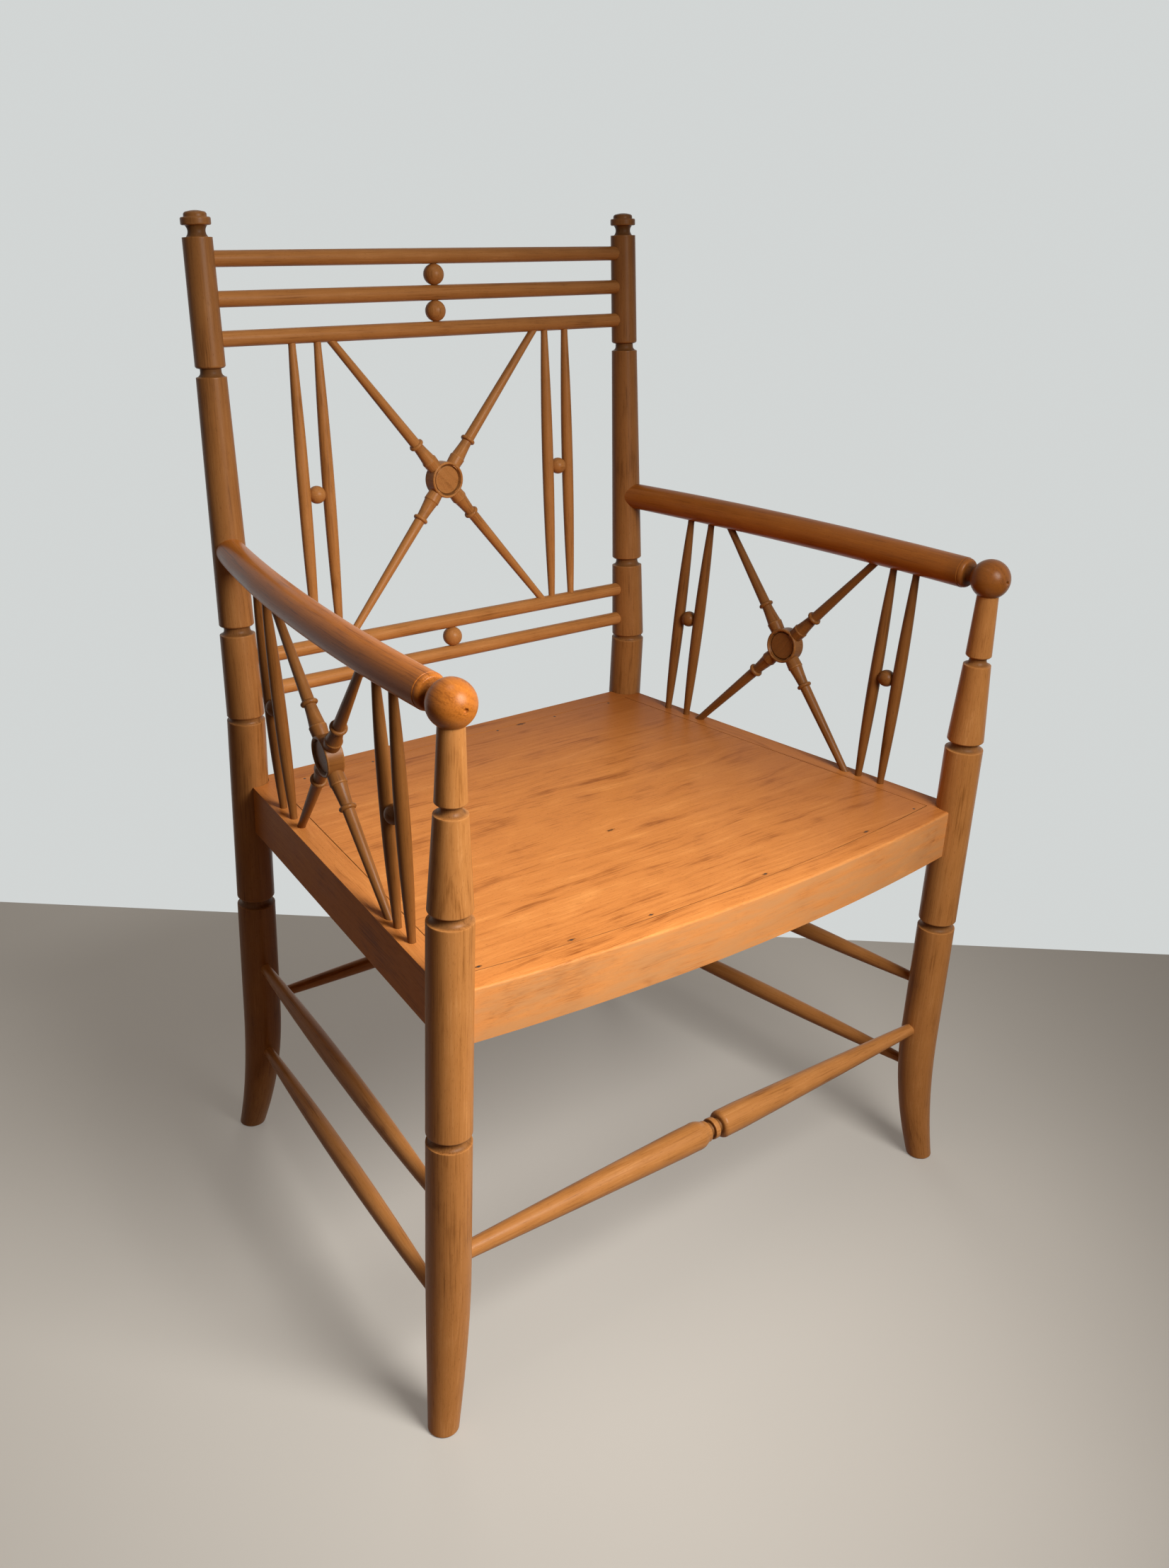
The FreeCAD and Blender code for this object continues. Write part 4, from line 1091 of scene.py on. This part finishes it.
@dataclass
class Fretwork:
    """What the back and the arm panels share: beads, hubs and turned cross arms."""

    shop: Workshop
    spindle: Point = (7.2, 12.4)
    spindle_bead: float = 17.4
    spindle_pitch: float = 27.0
    seat_depth: float = 13.0
    arm_depth: float = 8.0
    rail_depth: float = 5.0
    cross_end: float = 7.8
    cross_shaft: float = 11.0
    cross_ring: Triple = (15.6, 4.0, 49.0)
    cross_waist: float = 10.6
    cross_bell: Triple = (16.0, 28.0, 0.8)
    cross_root: float = 14.4
    flare: Point = (0.35, 0.585)
    entry: float = 8.0
    hub: Point = (37.0, 16.0)
    hub_rim: float = 2.2
    hub_recess: float = 2.4
    hub_bevel: float = 1.2
    hub_score: float = 1.3
    hub_stain: Point = (0.1, 0.5)
    hub_ring: float = 1.0
    bead_sides: int = 36
    hub_sides: int = 64

    def bead(self, node: str, centre: Vector, across: Vector, diameter: float) -> None:
        """Build a ball between two bars."""
        outline = Outline(CORE, -diameter / 2).arc((diameter / 2, 0.0), (CORE, diameter / 2))
        self.shop.turned(node, outline, straight(centre, across), self.bead_sides)

    def drum(self, node: str, centre: Vector, normal: Vector) -> None:
        """Build a hub with a sunken disc, scored round, on both faces.

        Args:
            node: The CAD node that it stands for.
            centre: The hub's centre.
            normal: Which way a face looks.
        """
        radius, half = self.hub[0] / 2, self.hub[1] / 2
        dish, edge, deep = radius - self.hub_rim, self.hub_rim / 3, half - self.hub_recess
        floor = dish - self.hub_bevel
        score = floor - self.hub_score
        face = [(CORE, deep), (score, deep), ((score + floor) / 2, deep - self.hub_score), (floor, deep),
                (dish, half), (radius - edge, half), (radius, half - edge)]
        outline = Outline(CORE, -deep).line(*((r, -t) for r, t in face[1:]), *reversed(face))
        # The rings of the sunken disc get dirt and painted shade.
        outline.dirt_and_shade_ring(score + self.hub_stain[0], dish - self.hub_stain[1])
        self.shop.turned(node, outline, straight(centre, normal), self.hub_sides, longest=self.hub_ring)

    def cross(self, node: str, centre: Vector, tip: Vector, depth: float) -> None:
        """Build a cross arm: bell at the hub, a ring, then a thin tapering shaft.

        Args:
            node: The CAD node that it stands for.
            centre: The hub's centre.
            tip: The shaft's end inside what holds it.
            depth: How deep that is.
        """
        length = (tip - centre).length
        end, bell, waist = self.cross_end / 2, self.cross_bell[0] / 2, self.cross_waist / 2
        ring, width, distance = self.cross_ring
        ring_in, ring_out = distance - width / 2, distance + width / 2
        root = (self.hub[0] - self.cross_root / 2) / 2
        _, far, step = self.cross_bell
        outline = Outline(self.cross_root / 2, root).line((bell, far - step), (bell - step, far))
        outline.arc((waist + self.flare[0] * (bell - waist), ring_in + self.flare[1] * (far - ring_in)),
                    (waist, ring_in))
        outline.arc((ring / 2, distance), (self.cross_shaft / 2, ring_out))
        outline.line((end, length - depth - self.entry), (end, length))
        self.shop.turned(node, outline, straight(centre, tip - centre))


@dataclass
class Back(Fretwork):
    """The back: three crest rails, two lower rails, beads, spindle pairs and a cross with its hub."""

    rail: Point = (14.4, 14.8)
    rail_bead: float = 20.6
    socket: float = 9.5
    crest_z: Triple = (848.3, 882.55, 916.8)
    lower_z: Point = (517.8, 551.8)
    spindle_x: float = 149.1
    cross_half_span: float = 126.0
    post_radius: Point = (13.3, 17.5)

    def build(self) -> None:
        """Build the rails and their beads, then what stands between them."""
        stance = self.shop.stance
        bottom, middle, top = self.crest_z
        lower, upper = self.lower_z
        crest, low = self.post_radius
        for name, z, radius in (("crest_rail_bottom", bottom, crest), ("crest_rail_middle", middle, crest),
                                ("crest_rail_top", top, crest), ("back_rail_lower", lower, low),
                                ("back_rail_upper", upper, low)):
            reach = stance.back_post_x - radius
            self.shop.rod(name, stance.back_plane(-reach, z), stance.back_plane(reach, z),
                          (self.socket, self.socket), self.rail)
        for name, z in (("crest_bead_upper", (middle + top) / 2), ("crest_bead_lower", (bottom + middle) / 2),
                        ("back_rail_bead", (lower + upper) / 2)):
            self.bead(name, stance.back_plane(0.0, z), stance.slope, self.rail_bead)
        self.spindles(upper, bottom)
        self.crossing(upper, bottom)

    def spindles(self, low: float, high: float) -> None:
        """Build the two pairs of spindles and their beads.

        Args:
            low: Height of the rail that they stand on.
            high: Height of the rail above them.
        """
        stance, rise = self.shop.stance, self.shop.stance.slope * (self.rail[0] / 2)
        for side_name, side in SIDES.items():
            for place, sign in (("inner", -1), ("outer", 1)):
                x = side * (self.spindle_x + sign * self.spindle_pitch / 2)
                self.shop.rod("back_spindle_%s_%s" % (side_name, place), stance.back_plane(x, low) + rise,
                              stance.back_plane(x, high) - rise, (self.rail_depth, self.rail_depth), self.spindle)
            self.bead("back_spindle_bead_" + side_name, stance.back_plane(side * self.spindle_x, (low + high) / 2),
                      RIGHT * side, self.spindle_bead)

    def crossing(self, low: float, high: float) -> None:
        """Build the hub and the four cross arms.

        Args:
            low: Height of the rail below them.
            high: Height of the rail above them.
        """
        stance = self.shop.stance
        centre = stance.back_plane(0.0, (low + high) / 2)
        self.drum("back_hub", centre, Vector((0.0, -math.cos(stance.lean), math.sin(stance.lean))))
        for level, z in (("upper", high), ("lower", low)):
            for side_name, side in SIDES.items():
                target = stance.back_plane(side * self.cross_half_span, z)
                axis = (target - centre).normalized()
                surface = target - axis * (self.rail[0] / 2 / abs(axis.dot(stance.slope)))
                self.cross("back_cross_%s_%s" % (level, side_name), centre, surface + axis * self.rail_depth,
                           self.rail_depth)


@dataclass
class ArmPanels(Fretwork):
    """The panels under the armrests: two spindle pairs with beads and a cross with its hub on each side."""

    inset: float = 7.4
    pairs: tuple[tuple[str, float], ...] = (("front", 95.8), ("back", 356.1))
    cross_y: Point = (126.7, 322.9)
    hub_lift: float = 2.0
    arm_radius: float = 14.8

    def build(self) -> None:
        """Build both panels."""
        for name, side in SIDES.items():
            self.spindles(name, side)
            self.crossing(name, side)

    def spindles(self, name: str, side: int) -> None:
        """Build one panel's pairs of spindles, each with the bead between them.

        Args:
            name: The side's name.
            side: -1 on the left, 1 on the right.
        """
        stance = self.shop.stance
        for pair, pair_y in self.pairs:
            middles = []
            for place, sign in (("front", -1), ("back", 1)):
                y = pair_y + sign * self.spindle_pitch / 2
                foot, crown = stance.side_line(side, y, self.inset), stance.above(side, y)
                head = crown - (crown - foot).normalized() * self.arm_radius
                self.shop.rod("arm_spindle_%s_%s_%s" % (name, pair, place), foot, head,
                              (self.seat_depth, self.arm_depth), self.spindle)
                middles.append((foot + head) * 0.5)
            self.bead("arm_bead_%s_%s" % (name, pair), (middles[0] + middles[1]) * 0.5, middles[1] - middles[0],
                      self.spindle_bead)

    def crossing(self, name: str, side: int) -> None:
        """Build one panel's hub and its four cross arms.

        Args:
            name: The side's name.
            side: -1 on the left, 1 on the right.
        """
        stance = self.shop.stance
        middle = sum(self.cross_y) / 2
        foot, crown = stance.side_line(side, middle, self.inset), stance.above(side, middle)
        rise = (crown - foot).normalized()
        centre = (foot + crown - rise * self.arm_radius) * 0.5 + rise * self.hub_lift
        self.drum("arm_hub_" + name, centre, (stance.side_line(side, self.cross_y[1], self.inset) - foot).cross(rise))
        for place, y in zip(("front", "back"), self.cross_y):
            head = stance.above(side, y) - UP * (self.arm_radius - self.arm_depth)
            toe = stance.side_line(side, y, self.inset)
            sunk = toe + (toe - centre).normalized() * self.seat_depth
            for level, tip, depth in (("upper", head, 2 * self.arm_depth), ("lower", sunk, self.seat_depth)):
                self.cross("arm_cross_%s_%s_%s" % (name, level, place), centre, tip, depth)


@dataclass
class Stretchers:
    """Two swelled stretchers on each side, one at the back and the turned one at the front."""

    shop: Workshop
    heights: tuple[tuple[str, float], ...] = (("upper", 218.5), ("lower", 114.4))
    side: Point = (10.6, 18.4)
    back: Point = (10.6, 17.0)
    back_z: float = 170.4
    front_z: float = 167.3
    depth: float = 13.0
    lead: float = 4.0
    ends: Point = (15.6, 13.0)
    swell: float = 27.0
    swell_ends: Point = (-46.0, 30.0)
    shoulder: Point = (22.6, 12.0)
    nose: Point = (20.0, 4.6)
    band: Triple = (21.0, 5.6, -4.2)
    slot: Point = (14.0, 5.0)
    collar: float = 5.0
    ease: float = 0.5
    slim_pull: float = 0.54
    round_pull: float = 0.7
    front_sides: int = 56

    def leg_radius(self, z: float) -> float:
        """Radius of a leg at a stretcher's height."""
        return self.shop.stance.leg_radius(min(1.0, z / self.shop.stance.foot_height))

    def build(self) -> None:
        """Build the six stretchers."""
        stance, depths = self.shop.stance, (self.depth, self.depth)
        for name, side in SIDES.items():
            for level, z in self.heights:
                start, end = stance.front_axis(side, z), stance.back_axis(side, z)
                axis = (end - start).normalized() * self.leg_radius(z)
                self.shop.rod("side_stretcher_%s_%s" % (name, level), start + axis, end - axis, depths, self.side)
        inset = RIGHT * self.leg_radius(self.back_z)
        self.shop.rod("back_stretcher", stance.back_axis(-1, self.back_z) + inset,
                      stance.back_axis(1, self.back_z) - inset, depths, self.back)
        self.front()

    def front(self) -> None:
        """Build the front stretcher: two long swells that meet at a turned band."""
        stance = self.shop.stance
        half = stance.front_axis(1, self.front_z).x - self.leg_radius(self.front_z)
        tip, lead, ease, pull = half + self.depth, half - self.lead, self.ease, self.round_pull
        left, right = [d / 2 for d in self.ends]
        full, band, slot = self.swell / 2, self.band[0] / 2, self.slot[0] / 2
        shoulder, nose = self.shoulder[0] / 2, self.nose[0] / 2
        band_low, band_high = self.band[2] - self.band[1] / 2, self.band[2] + self.band[1] / 2
        slot_low, slot_high = band_low - self.slot[1], band_high + self.slot[1]
        collar = slot_low - self.collar
        slims = [(end + self.slim_pull * (full - end), (sign * lead + place) / 2)
                 for end, sign, place in zip((left, right), (-1, 1), self.swell_ends)]
        outline = Outline(left, -tip).line((left, -lead)).arc(slims[0], (full, self.swell_ends[0]))
        outline.line((full, collar - self.shoulder[1]))
        outline.arc((shoulder + pull * (full - shoulder), collar - (1 - pull) * self.shoulder[1]), (shoulder, collar))
        outline.line((band, collar + ease), (band, slot_low - ease), (band - ease, slot_low), (slot, slot_low + STEP),
                     (slot, band_low - STEP), (band - ease, band_low), (band, band_low + ease),
                     (band, band_high - ease), (band - ease, band_high), (slot, band_high + STEP),
                     (slot, slot_high - STEP), (nose, slot_high))
        outline.arc((nose + pull * (full - nose), slot_high + (1 - pull) * self.nose[1]),
                    (full, slot_high + self.nose[1]))
        outline.line((full, self.swell_ends[1])).arc(slims[1], (right, lead)).line((right, tip))
        self.shop.turned("front_stretcher", outline, straight(stance.at(0.0, 0.0, self.front_z), RIGHT),
                         self.front_sides)


def skin(rows: Sequence[Sequence[Vector]]) -> bmesh.types.BMesh:
    """Close a run of like rows of points into one mesh.

    Args:
        rows: The rows, in millimetres.

    Returns:
        The mesh, with a cap on the first and the last row.
    """
    work = bmesh.new()
    rings = [[work.verts.new(point * MM) for point in row] for row in rows]
    for a, b in zip(rings, rings[1:]):
        for j in range(len(a)):
            k = (j + 1) % len(a)
            work.faces.new((a[j], a[k], b[k], b[j]))
    for end in (rings[0], rings[-1]):
        work.faces.new(end)
    return work


@dataclass
class SeatFrame:
    """The seat: bowed front rail, side and back rails, the let-in panel, its brads and the hidden blocks."""

    shop: Workshop
    rail_height: float = 49.0
    lip: float = 23.5
    ledge: float = 10.0
    panel: float = 14.0
    gap: float = 0.2
    bow: float = 21.5
    proud: Triple = (4.0, 3.0, 2.0)
    arris: float = 2.2
    arris_steps: int = 4
    reach: float = 295.48
    edge_ease: float = 0.45
    edge_angle: float = 40.0
    seam_ease: float = 0.8
    seam_angle: float = 28.0
    crease: float = 30.0
    weld: float = 2e-6
    bow_steps: int = 96
    brad_front: tuple[float, ...] = (-0.97, -0.655, -0.355, 0.14, 0.67, 0.97)
    brad_back: tuple[float, ...] = (-0.9, -0.54, -0.18, 0.18, 0.54, 0.9)
    brad_radius: float = 1.4
    brad_proud: float = 0.12

    def bow_y(self, x: float, inset: float) -> float:
        """Distance from the front posts of a curve parallel to the front rail's face, at an x."""
        radius = (self.shop.stance.front_post_x ** 2 + self.bow ** 2) / (2 * self.bow)
        return radius - self.proud[0] - self.bow - math.sqrt((radius - inset) ** 2 - x ** 2)

    def build(self) -> None:
        """Build the seat's pieces."""
        self.front_rail()
        for node in ("left_seat_rail", "right_seat_rail", "back_seat_rail"):
            self.plain_rail(node)
        self.seat_panel()
        self.brads()
        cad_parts["corner_blocks"].data.materials.clear()
        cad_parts["corner_blocks"].data.materials.append(self.shop.finishes[Slot.BLOCK])
        log.info("corner_blocks: CAD node kept, hidden under the panel")

    def finish_piece(self, node: str, work: bmesh.types.BMesh, grain: Callable[[Vector], tuple]) -> None:
        """Write a seat piece's grain, make it an object and hand it over.

        Args:
            node: The CAD node that it stands for.
            work: Its mesh.
            grain: The wood's own coordinates at a place, the last one along the fibre.
        """
        bmesh.ops.recalc_face_normals(work, faces=work.faces)
        layer = work.verts.layers.float_vector.new("grain")
        for vert in work.verts:
            vert[layer] = Vector(grain(vert.co))
        mesh = bpy.data.meshes.new(node + "_board")
        work.to_mesh(mesh)
        work.free()
        mesh.materials.append(self.shop.finishes[Slot.SEAT])
        self.shop.hand_over(faced_out(placed(node + "_board", mesh)), Slot.SEAT, node)

    def soften(self, work: bmesh.types.BMesh, width: float, sharp: float, mark: str) -> None:
        """Bevel a piece's sharp edges and mark the new faces.

        Args:
            work: The mesh.
            width: How wide, in millimetres.
            sharp: The least angle of an edge that is eased, in degrees.
            mark: The attribute that the new faces get: rubbed, or dark as a seam.
        """
        marked = work.faces.layers.float.new(mark)
        edges = [e for e in work.edges if len(e.link_faces) == 2 and e.calc_face_angle(0.0) > math.radians(sharp)]
        result = bmesh.ops.bevel(work, geom=edges, offset=width * MM, segments=2, profile=0.5, affect="EDGES",
                                 clamp_overlap=True)
        for face in result["faces"]:
            face[marked] = 1.0
            face.smooth = True

    def front_rail(self) -> None:
        """Sweep the front rail's section along its bow."""
        stance, width, round_ = self.shop.stance, self.lip + self.ledge, self.arris
        top, bottom, ledge = [stance.seat_height - drop for drop in (0.0, self.rail_height, self.panel)]
        section = [(self.lip, top), (self.lip, ledge), (width, ledge), (width, bottom), (0.0, bottom)]
        for i in range(self.arris_steps + 1):
            angle = i / self.arris_steps * math.pi / 2
            section.append((round_ * (1 - math.cos(angle)), top - round_ * (1 - math.sin(angle))))
        places = [self.reach * (2 * i / self.bow_steps - 1) for i in range(self.bow_steps + 1)]
        work = skin([[stance.at(x, self.bow_y(x, inset), z) for inset, z in section] for x in places])
        worn, bleach = [work.faces.layers.float.new(name) for name in ("wear", "bleach")]
        work.normal_update()
        for face in work.faces:
            face.smooth = len(face.verts) == 4
            edge = all(v.co.z > (top - round_ - STEP) * MM for v in face.verts)
            face[worn] = 1.0 if edge and abs(face.normal.z) < 0.999 and face.smooth else 0.0
            face[bleach] = 1.0 - abs(face.normal.z)
        for edge in work.edges:
            edge.smooth = edge.calc_face_angle(0.0) < math.radians(self.crease)
        self.finish_piece("front_seat_rail", work, lambda p: (p.y + 0.4, p.z, p.x))

    def plain_rail(self, node: str) -> None:
        """Take a straight rail's CAD shape as one skin, with its edges eased.

        Args:
            node: The rail's CAD node.
        """
        work = bmesh.new()
        work.from_mesh(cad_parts[node].data)
        bmesh.ops.remove_doubles(work, verts=work.verts, dist=self.weld)
        bmesh.ops.dissolve_limit(work, angle_limit=math.radians(1.0), verts=work.verts, edges=work.edges)
        for face in work.faces:
            face.smooth = False
        self.soften(work, self.edge_ease, self.edge_angle, "wear")
        if node == "back_seat_rail":
            self.finish_piece(node, work, lambda p: (p.y - 0.3, p.z, p.x))
            return
        side, stance = SIDES[node.split("_")[0]], self.shop.stance
        run = (stance.side_line(side, stance.seat_depth, 0.0) - stance.side_line(side, 0.0, 0.0)).normalized()
        across = run.cross(UP)
        self.finish_piece(node, work, lambda p: (p.dot(across) + 0.7 * side, p.z, p.dot(run) + 0.9))

    def seat_panel(self) -> None:
        """Cut the panel to the frame's inner outline and ease its edges."""
        stance = self.shop.stance
        inset = self.lip + self.gap
        back_y = stance.seat_depth + self.proud[2] - inset

        def half_width(y: float) -> float:
            """Half the panel's width at a distance from the front posts."""
            return stance.side_line(1, y, inset - self.proud[1]).x

        front_x = half_width(self.bow_y(half_width(0.0), inset))
        places = [front_x * (2 * i / self.bow_steps - 1) for i in range(self.bow_steps + 1)]
        plan = [(half_width(back_y), back_y), (-half_width(back_y), back_y)]
        plan += [(x, self.bow_y(x, inset)) for x in places]
        work = skin([[stance.at(x, y, stance.seat_height - drop) for x, y in plan] for drop in (self.panel, 0.0)])
        bmesh.ops.recalc_face_normals(work, faces=work.faces)
        self.soften(work, self.seam_ease, self.seam_angle, "hollow")
        self.finish_piece("seat_panel", work, lambda p: (p.y, p.z, p.x))

    def brad_places(self) -> list[Vector]:
        """Find the middles of the brad heads on the seat's top.

        Returns:
            The front row, then the back row.
        """
        stance = self.shop.stance
        inset = self.lip + self.ledge / 2
        back_y = stance.seat_depth + self.proud[2] - inset
        front_y = self.bow_y(0.0, inset) + self.bow
        front_x, back_x = [[share * stance.side_line(1, y, inset).x for share in shares]
                           for y, shares in ((front_y, self.brad_front), (back_y, self.brad_back))]
        plan = [(x, self.bow_y(x, inset)) for x in front_x] + [(x, back_y) for x in back_x]
        return [stance.at(x, y, stance.seat_height) for x, y in plan]

    def brads(self) -> None:
        """Set a domed brad head on every place with Geometry Nodes."""
        graph, given = node_group("brad heads", {"Places": "Geometry", "Radius": "Float", "Height": "Float",
                                                 "Finish": "Material"}, "Heads")
        ball = graph.geometry("MeshUVSphere", {"Segments": 20, "Rings": 10, "Radius": 1.0}, "Mesh")
        scale = graph.combine(given["Radius"], given["Radius"], given["Height"])
        head = graph.geometry("Transform", {"Geometry": ball, "Scale": scale})
        head = graph.geometry("SetShadeSmooth", {"Geometry": head}, domain="FACE")
        heads = graph.geometry("InstanceOnPoints", {"Points": given["Places"], "Instance": head}, "Instances")
        close_group(graph, heads, given["Finish"])
        mesh = bpy.data.meshes.new("brad places")
        mesh.from_pydata([p * MM for p in self.brad_places()], [], [])
        inputs = {"Radius": self.brad_radius * MM, "Height": self.brad_proud * MM,
                  "Finish": self.shop.finishes[Slot.BRAD]}
        self.shop.hand_over(realise("seat_brad_heads", mesh, graph.tree, inputs), Slot.BRAD, "seat_brads")


@dataclass(frozen=True)
class Lamp:
    """A soft round lamp, in metres, degrees and watts."""

    name: str
    place: Triple
    aim: Triple
    size: float
    spread: float
    power: float
    mirrored: bool = True

    def hang(self, tint: Triple) -> None:
        """Hang the lamp.

        Args:
            tint: Its light's colour.
        """
        light = bpy.data.lights.new(self.name, "AREA")
        light.shape, light.size, light.spread = "DISK", self.size, math.radians(self.spread)
        light.energy, light.color = self.power, tint
        hung = placed(self.name, light)
        hung.location = self.place
        hung.visible_glossy = self.mirrored
        hung.rotation_euler = (Vector(self.place) - Vector(self.aim)).to_track_quat("Z", "Y").to_euler()


@dataclass
class Studio:
    """Pale floor, soft light before a pale world and the camera at the photograph's angle. Metres and pixels."""

    focal: float = 2065.782
    place: Triple = (-0.848071, -1.032253, 1.026881)
    azimuth: float = math.radians(-39.972)
    elevation: float = math.radians(23.735)
    roll: float = math.radians(-2.586)
    sensor: float = 24.0
    floor_paint: Triple = (0.44, 0.42, 0.39)
    wall_paint: Triple = (0.645, 0.668, 0.662)
    bounce: Triple = (0.15, 0.07, 0.02)
    floor_glow: float = 0.3
    room: float = 4.0
    floor_back: float = 0.49
    floor_drop: float = 0.0004
    lamps: tuple[Lamp, ...] = (
        Lamp("soft key", (0.0, -1.1, 1.2), (-0.24, -0.2, 0.35), 0.7, 84.0, 6.8),
        Lamp("soft top", (-0.32, -0.15, 1.75), (-0.30, -0.06, 0.66), 0.5, 70.0, 0.5),
        Lamp("soft rear", (0.8, 1.5, 0.75), (0.0, 0.15, 0.5), 1.0, 110.0, 2.4, mirrored=False))
    lamp_tint: Triple = (1.0, 0.97, 0.92)
    fill: float = 0.075
    fill_tint: Triple = (1.0, 0.55, 0.12)

    def build(self) -> None:
        """Set the stage, the lights and the camera."""
        self.stage()
        for lamp in self.lamps:
            lamp.hang(self.lamp_tint)
        self.world()
        self.camera()

    def stage(self) -> None:
        """Lay the floor, as far back as the photograph's wall."""
        back = Vector((math.sin(self.azimuth), -math.cos(self.azimuth), 0.0)) * -1
        across = Vector((back.y, -back.x, 0.0)) * self.room
        near, far = back * -self.room - UP * self.floor_drop, back * self.floor_back - UP * self.floor_drop
        mesh = bpy.data.meshes.new("floor")
        mesh.from_pydata([near - across, near + across, far + across, far - across], [], [(0, 1, 2, 3)])
        mesh.materials.append(FloorFinish("pale floor", self.floor_paint, self.bounce, self.floor_glow).material())
        floor = placed("floor", mesh)

    def world(self) -> None:
        """Give the world the wall's colour to the eye, and an even warm fill as light."""
        world = bpy.data.worlds.new("studio")
        world.use_nodes = True
        world.node_tree.nodes.clear()
        graph = Graph(world.node_tree)
        colour = graph.mix(graph.seen(), tuple(self.fill * c for c in self.fill_tint), self.wall_paint)
        sky = graph.value("ShaderNodeBackground", {}, {"Color": colour}, "Background")
        graph.node("ShaderNodeOutputWorld", {}, {"Surface": sky})
        bpy.context.scene.world = world

    def camera(self) -> None:
        """Stand the camera where the photograph was taken from."""
        az, el = self.azimuth, self.elevation
        backward = Vector((math.sin(az) * math.cos(el), -math.cos(az) * math.cos(el), math.sin(el)))
        forward = backward * -1
        right = forward.cross(UP).normalized()
        down = forward.cross(right)
        across = right * math.cos(self.roll) + down * math.sin(self.roll)
        below = down * math.cos(self.roll) - right * math.sin(self.roll)
        data = bpy.data.cameras.new("photograph")
        data.sensor_fit, data.sensor_width = "AUTO", self.sensor
        data.lens = self.focal * self.sensor / PHOTO_HEIGHT
        camera = placed("photograph", data)
        turn = Matrix((across, below * -1, backward)).transposed().to_4x4()
        camera.matrix_world = Matrix.Translation(Vector(self.place)) @ turn
        bpy.context.scene.camera = camera


def finishes() -> dict[Slot, bpy.types.Material]:
    """Write every finish of the chair once.

    Returns:
        The materials by slot.
    """
    woods = {
        Slot.TURNED: WoodFinish("turned wood old polish", pale=(0.51, 0.232, 0.076), warm=(0.41, 0.170, 0.047),
                                deep=(0.20, 0.070, 0.014)),
        Slot.ARM: ArmFinish("armrest wood handled polish", pale=(0.56, 0.190, 0.030), warm=(0.44, 0.138, 0.019),
                            deep=(0.20, 0.053, 0.006), roughness=0.31, coat=0.0, shine=0.18, wear_share=0.05),
        Slot.SEAT: SeatFinish("seat wood worn polish", pale=(0.73, 0.305, 0.086), warm=(0.60, 0.222, 0.055),
                              deep=(0.26, 0.071, 0.012), ring_width=7.0, ring_depth=0.58, fibre_depth=0.4,
                              sway=14.0, pith=(40.0, -380.0), mottle_depth=0.4, fleck_share=0.25, dirt_and_shade_share=0.8,
                              roughness=0.42, shine=0.07, dashes=(
                                  (-266.7, -218.6, 4.5, 1.5), (-180.1, -227.6, 4.5, 1.5), (-97.6, -232.8, 4.0, 1.4),
                                  (38.5, -234.7, 4.5, 1.5), (184.2, -227.2, 5.5, 1.5), (-19.1, -85.2, 6.5, 2.0),
                                  (73.5, 182.5, 8.0, 2.6))),
        Slot.BLOCK: BlockFinish(), Slot.BRAD: BradFinish()}
    return {slot: finish.material() for slot, finish in woods.items()}


def main() -> None:
    """Build the chair's sub-assemblies and the studio in order."""
    logging.basicConfig(level=logging.INFO, format="%(name)s: %(message)s")
    bpy.context.scene.view_settings.view_transform = "Standard"
    shop = Workshop(Stance(), Turner(), finishes())
    # A darker copy of the turned wood for the back posts: painted shade.
    rear = shop.with_wood(WoodFinish("back post wood dark polish", pale=(0.37, 0.166, 0.054),
                                     warm=(0.295, 0.122, 0.034), deep=(0.14, 0.048, 0.010)))
    # A darker copy of the turned wood for the arm panels: painted shade.
    panels = shop.with_wood(WoodFinish("arm panel wood painted shade", pale=(0.25, 0.104, 0.029),
                                       warm=(0.20, 0.076, 0.018), deep=(0.09, 0.030, 0.005)))
    for assembly in (Posts(shop, rear), Armrests(shop), Back(shop), ArmPanels(panels), SeatFrame(shop),
                     Stretchers(shop)):
        assembly.build()
        log.info("%s done", type(assembly).__name__)
    Studio().build()


if __name__ == "__main__":
    main()
